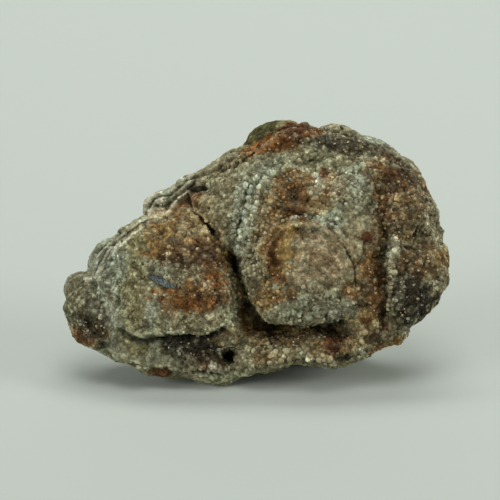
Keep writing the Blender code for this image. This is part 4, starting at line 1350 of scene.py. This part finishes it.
@dataclass
class Glints:
    """Small flat crystal faces that catch the lamps, laid on the skin."""

    skin: Skin
    tree: BVHTree
    lamps: tuple[Triple, ...]
    radius: float = 0.115
    scattered: int = 200
    corners: int = 6

    def spots(self, random: np.random.Generator) -> Array:
        """Chooses where the crystals sit: the listed places, and more at random in the drusy zones.

        Args:
            random: The source of chance.

        Returns:
            Places in u and v, one row each.
        """
        zones = [patch for coat, patch in COATS if coat is Coat.POINTS] + list(GLINT_ZONES)
        weights = np.array([zone.across * zone.up for zone in zones])
        chosen = random.choice(len(zones), self.scattered, p=weights / weights.sum())
        flat = [np.array(GLINTS)]
        for zone in (zones[index] for index in chosen):
            away, angle = math.sqrt(random.uniform()), random.uniform(0, math.tau)
            flat.append(zone.place(zone.across * away * math.cos(angle), zone.up * away * math.sin(angle)))
        return np.vstack(flat)

    def build(self) -> Object:
        """Makes the crystals as one piece, each a low six-sided pyramid cut flat.

        Returns:
            The crystals' object.
        """
        bm = bmesh.new()
        random = np.random.default_rng(7)
        outward = Vector(self.skin.face.axes[2])
        turns = [math.tau * corner / self.corners for corner in range(self.corners)]
        for place in self.skin.drop(self.tree, self.spots(random)):
            at = Vector(self.skin.face.to_row(place))
            lamp = Vector(self.lamps[random.integers(len(self.lamps))])
            spin = ((lamp - at).normalized() + outward).normalized().to_track_quat("Z", "Y")
            radius = self.radius * MILLIMETRE * random.uniform(0.6, 1.3)
            rings = []
            for share, height in ((1.0, 1.0), (1.7, -1.4)):
                spots = [Vector((math.cos(turn) * share, math.sin(turn) * share, height)) for turn in turns]
                rings.append([bm.verts.new(at + spin @ (spot * radius)) for spot in spots])
            top, foot = rings
            for corner in range(self.corners):
                after = (corner + 1) % self.corners
                bm.faces.new((top[corner], foot[corner], foot[after], top[after]))
            bm.faces.new(top)
            bm.faces.new(foot[::-1])
        bmesh.ops.recalc_face_normals(bm, faces=bm.faces)
        mesh = new_mesh("glints", bm)
        set_tints(mesh, np.tile(GLINT_TINT, (len(mesh.vertices), 1)))
        return link_object("glints", mesh)


class Effects:
    """Shader node groups that more than one finish uses."""

    def __init__(self) -> None:
        """Builds the groups once."""
        self.mottle = self.build_mottle_and_seam_shade()
        self.sugar = self.build_sugar()
        self.facets = self.build_facets()

    def build_mottle_and_seam_shade(self) -> NodeTree:
        """Builds the group that varies a colour from one grain to the next and darkens the seams between
        cells, as painted shade in those creases.

        Returns:
            The group.
        """
        graph, given = NodeGraph.group(
            "mineral_mottle_seam_shade", "ShaderNodeTree",
            (("Color", "Color", None), ("Scale", "Float", 1200.0), ("Amount", "Float", 0.5)),
            ("Color", "Color", None),
        )
        colour = given["Color"]
        for scale in (given["Scale"], graph.math("MULTIPLY", given["Scale"], 2.3)):
            tone = graph.first_part(graph.cells(scale)["Color"])
            colour = graph.mix(given["Amount"], colour, graph.toned(colour, tone))
        # Painted shade: the edges of the cells are darkened toward the seam brown
        gap = graph.cells(given["Scale"], "DISTANCE_TO_EDGE")["Distance"]
        seam_shade = graph.between(gap, From_Max=0.13, To_Min=0.6, To_Max=0.0)
        dark = (*(0.35 * part for part in SEAM_AND_GAP_SHADE), 1)
        sunk = graph.mix(graph.math("MULTIPLY", seam_shade, given["Amount"]), colour, dark)
        graph.add("NodeGroupOutput", {"Color": sunk})
        return graph.tree

    def build_sugar(self) -> NodeTree:
        """Builds the group that roughens a surface like fine sugar.

        Returns:
            The group, whose output is a normal.
        """
        graph, given = NodeGraph.group(
            "sugary_grain", "ShaderNodeTree", (("Scale", "Float", 4000.0), ("Depth", "Float", 0.00005)),
            ("Normal", "Vector", None),
        )
        height = graph.cells(given["Scale"])["Distance"]
        bump = graph.add(
            "ShaderNodeBump", {"Height": height, "Distance": given["Depth"], "Strength": 1.0}, invert=True
        )
        graph.add("NodeGroupOutput", {"Normal": bump.outputs["Normal"]})
        return graph.tree

    def build_facets(self) -> NodeTree:
        """Builds the group that lights up a few grains, like small clear crystals.

        Returns:
            The group, whose output is 1 on those grains and 0 elsewhere.
        """
        graph, given = NodeGraph.group(
            "clear_crystals", "ShaderNodeTree", (("Scale", "Float", 3000.0), ("Rarity", "Float", 0.85)),
            ("Mask", "Float", None),
        )
        chance = graph.first_part(graph.cells(given["Scale"])["Color"])
        graph.add("NodeGroupOutput", {"Mask": graph.math("GREATER_THAN", chance, given["Rarity"])})
        return graph.tree


def new_finish(name: str) -> tuple[Material, NodeGraph, Node]:
    """Starts a finish.

    Args:
        name: The material's name.

    Returns:
        The material, its graph and its shader.
    """
    material = bpy.data.materials.new(name)
    material.use_nodes = True
    return material, NodeGraph(material.node_tree), material.node_tree.nodes["Principled BSDF"]


@dataclass(frozen=True)
class StoneFinish:
    """A finish of the stone that reads its tints, with its own shade, gloss and grain."""

    name: str
    tone_swing: float
    specks: float
    rough: float
    clear_rough: float
    mottle: float
    mottle_scale: float
    grain_scale: float
    grain_depth: float
    gloss: float

    def build(self, effects: Effects) -> Material:
        """Builds the material.

        Args:
            effects: The shared node groups.

        Returns:
            The material.
        """
        material, graph, shader = new_finish(self.name)
        tint = graph.add("ShaderNodeAttribute", attribute_name="tint").outputs["Color"]
        tone = graph.add("ShaderNodeAttribute", attribute_name="grain_tone").outputs["Fac"]
        clear = graph.between(tone, From_Min=0.9, To_Max=self.specks)
        speckled = graph.mix(clear, graph.toned(tint, tone, self.tone_swing), (*SPECK, 1))
        mottle = graph.add("ShaderNodeGroup", node_tree=effects.mottle)
        graph.fill(mottle, {"Color": speckled, "Scale": self.mottle_scale, "Amount": self.mottle})
        sugar = graph.add("ShaderNodeGroup", node_tree=effects.sugar)
        graph.fill(sugar, {"Scale": self.grain_scale, "Depth": self.grain_depth * MILLIMETRE})
        facets = graph.add("ShaderNodeGroup", node_tree=effects.facets)
        graph.fill(facets, {"Scale": self.mottle_scale})
        graph.fill(shader, {
            "Base Color": mottle.outputs["Color"], "IOR": 1.54, "Specular IOR Level": self.gloss,
            "Roughness": graph.between(facets.outputs["Mask"], To_Min=self.rough, To_Max=self.clear_rough),
            "Normal": sugar.outputs["Normal"],
        })
        return material


@dataclass(frozen=True)
class LensFinish:
    """The finish of the dark lens: near black, with slanted blue-grey threads."""

    name: str = "dark_lens"
    deep: Triple = (0.010, 0.017, 0.019)
    thread: Triple = (0.075, 0.105, 0.092)
    thread_scale: float = 650.0
    slant: float = 35.0

    def build(self) -> Material:
        """Builds the material.

        Returns:
            The material.
        """
        material, graph, shader = new_finish(self.name)
        place = graph.add("ShaderNodeTexCoord").outputs["Object"]
        turned = graph.add(
            "ShaderNodeMapping", {"Vector": place, "Rotation": (0, math.radians(self.slant), 0)}
        ).outputs["Vector"]
        threads = graph.add("ShaderNodeTexWave", {
            "Vector": turned, "Scale": self.thread_scale, "Distortion": 16.0, "Detail": 4.0,
        }).outputs["Fac"]
        ramp = graph.add("ShaderNodeValToRGB", {"Fac": threads})
        for stop, position, tint in zip(ramp.color_ramp.elements, (0.3, 0.9), (self.deep, self.thread)):
            stop.position = position
            stop.color = (*tint, 1)
        graph.fill(shader, {
            "Base Color": ramp.outputs["Color"], "Roughness": 0.5, "Specular IOR Level": 0.3,
        })
        return material


@dataclass(frozen=True)
class Lamp:
    """A soft square lamp: where it hangs, its size and what it looks at in metres, and its watts."""

    name: str
    place: Triple
    size: float
    power: float
    target: Triple = (0.0, 0.0, 0.017)

    def build(self) -> None:
        """Hangs the lamp, turned to what it looks at."""
        data = bpy.data.lights.new(self.name, "AREA")
        data.energy, data.size = self.power, self.size
        made = link_object(self.name, data)
        made.location = self.place
        away = Vector(self.place) - Vector(self.target)
        made.rotation_euler = away.to_track_quat("Z", "Y").to_euler()


LAMPS: tuple[Lamp, ...] = (
    Lamp("left_lamp", (-0.42, -0.26, 0.16), 0.20, 1.5),
    Lamp("right_lamp", (0.42, -0.14, 0.16), 0.20, 1.25),
    Lamp("top_lamp", (0.02, -0.20, 0.56), 0.30, 1.3),
    Lamp("sweep_lamp", (0.0, 0.30, 0.70), 0.60, 6.0, (0.0, 0.90, 0.10)),
)


@dataclass(frozen=True)
class Studio:
    """The pale table, the soft lamps and the camera. Sizes are in metres, the aim is on the face."""

    face: FaceFrame
    aim: Triple = (-1.1, 0.5, 2.0)
    distance: float = 0.42
    frame_width: float = 0.070
    air: float = 0.12
    air_tint: Triple = (0.97, 1.0, 0.97)
    table_tint: Triple = (0.435, 0.475, 0.43)
    table_front: float = -1.2
    table_back: float = 0.9
    table_side: float = 1.5
    wall_height: float = 0.9
    bend: float = 0.35
    bend_steps: int = 12

    def build_camera(self) -> None:
        """Puts the camera square to the face, far enough away for a calm perspective."""
        data = bpy.data.cameras.new("camera")
        data.sensor_width = 36.0
        data.lens = data.sensor_width * self.distance / self.frame_width
        data.clip_start, data.clip_end = 0.01, 20.0
        camera = link_object("camera", data)
        aim = self.face.to_row(np.array([self.aim]))[0]
        camera.location = Vector(aim) + Vector(self.face.axes[2]) * self.distance
        camera.rotation_euler = Vector(self.face.axes[2]).to_track_quat("Z", "Y").to_euler()
        bpy.context.scene.camera = camera

    def build_table(self) -> Object:
        """Makes the table top, which sweeps up behind the stone.

        Returns:
            The table.
        """
        start = self.table_back - self.bend
        turns = [0.5 * math.pi * step / self.bend_steps for step in range(1, self.bend_steps + 1)]
        curve = [(start + self.bend * math.sin(turn), self.bend * (1 - math.cos(turn))) for turn in turns]
        profile = [(self.table_front, 0.0), (start, 0.0), *curve, (self.table_back, self.wall_height)]
        bm = bmesh.new()
        sides = [[bm.verts.new((x, y, z)) for y, z in profile] for x in (-self.table_side, self.table_side)]
        for (left, right), (next_left, next_right) in pairwise(zip(*sides)):
            bm.faces.new((left, right, next_right, next_left))
        mesh = new_mesh("table", bm)
        mesh.shade_smooth()
        material, graph, shader = new_finish("pale_table")
        graph.fill(shader, {"Base Color": (*self.table_tint, 1), "Roughness": 0.8})
        mesh.materials.append(material)
        return link_object("table", mesh)

    def build(self) -> None:
        """Builds the camera, the table, the lamps and the dim air round them."""
        self.build_camera()
        self.build_table()
        for lamp in LAMPS:
            lamp.build()
        world = bpy.data.worlds.new("studio")
        world.use_nodes = True
        air = world.node_tree.nodes["Background"]
        air.inputs["Color"].default_value = (*self.air_tint, 1)
        air.inputs["Strength"].default_value = self.air
        bpy.context.scene.world = world
        bpy.context.scene.view_settings.view_transform = "Standard"


DRUSES: tuple[Druse, ...] = (
    Druse("coarse_beads", Coat.COARSE, GrainShape.BEAD, 0.62, 0.24, 0.44, 0.20, 3.1, 11, 1.2, 0.16),
    Druse("medium_sugar", Coat.MEDIUM, GrainShape.SUGAR, 0.40, 0.16, 0.36, 0.08, 3.1, 12, 1.6),
    Druse("fine_sugar", Coat.FINE, GrainShape.SUGAR, 0.34, 0.12, 0.26, 0.07, 3.1, 13, 1.6),
    Druse("smooth_sugar", Coat.SMOOTH, GrainShape.SUGAR, 0.42, 0.10, 0.22, 0.08, 3.1, 16, 2.0),
    Druse("coarse_sugar", Coat.COARSE, GrainShape.SUGAR, 0.42, 0.16, 0.36, 0.05, 3.1, 15, 1.6),
    Druse("quartz_points", Coat.POINTS, GrainShape.POINT, 0.38, 0.18, 0.40, 0.14, 0.7, 14, 1.6),
)

FINISHES: tuple[StoneFinish, ...] = (
    StoneFinish("stone_ground", 0.0, 0.0, 0.7, 0.4, 0.5, 1500, 1500, 0.16, 0.04),
    StoneFinish("chalcedony_beads", 0.7, 0.0, 0.5, 0.25, 0.3, 1900, 3400, 0.05, 0.12),
    StoneFinish("sugary_druse", 1.0, 0.1, 0.5, 0.2, 0.3, 2200, 3400, 0.04, 0.1),
    StoneFinish("quartz_druse", 1.1, 0.55, 0.35, 0.1, 0.3, 2200, 3400, 0.0, 0.2),
    StoneFinish("calm_druse", 0.6, 0.0, 0.5, 0.2, 0.25, 2200, 3400, 0.03, 0.1),
)


def main() -> None:
    """Builds the stone, its coats and the studio round it."""
    logging.basicConfig(level=logging.INFO, format="%(name)s: %(message)s")
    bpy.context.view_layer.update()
    face = FaceFrame()
    effects = Effects()
    skin = Skin(face, StainMap())
    ground, beads, sugar, points, calm = (finish.build(effects) for finish in FINISHES)
    finishes = {GrainShape.BEAD: beads, GrainShape.SUGAR: sugar, GrainShape.POINT: points}
    piece = settle(skin.build(), ground)
    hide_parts(NODE)
    for druse in DRUSES:
        finish = calm if druse.coat is Coat.SMOOTH else finishes[druse.shape]
        settle(druse.build(skin, finish), finish)
    tree = skin.search_tree()
    settle(BeadRows(skin, tree).build(), beads)
    settle(DarkLens(skin, tree).build(), LensFinish().build())
    settle(Glints(skin, tree, tuple(lamp.place for lamp in LAMPS[:2])).build(), points)
    Studio(face).build()


if __name__ == "__main__":
    main()
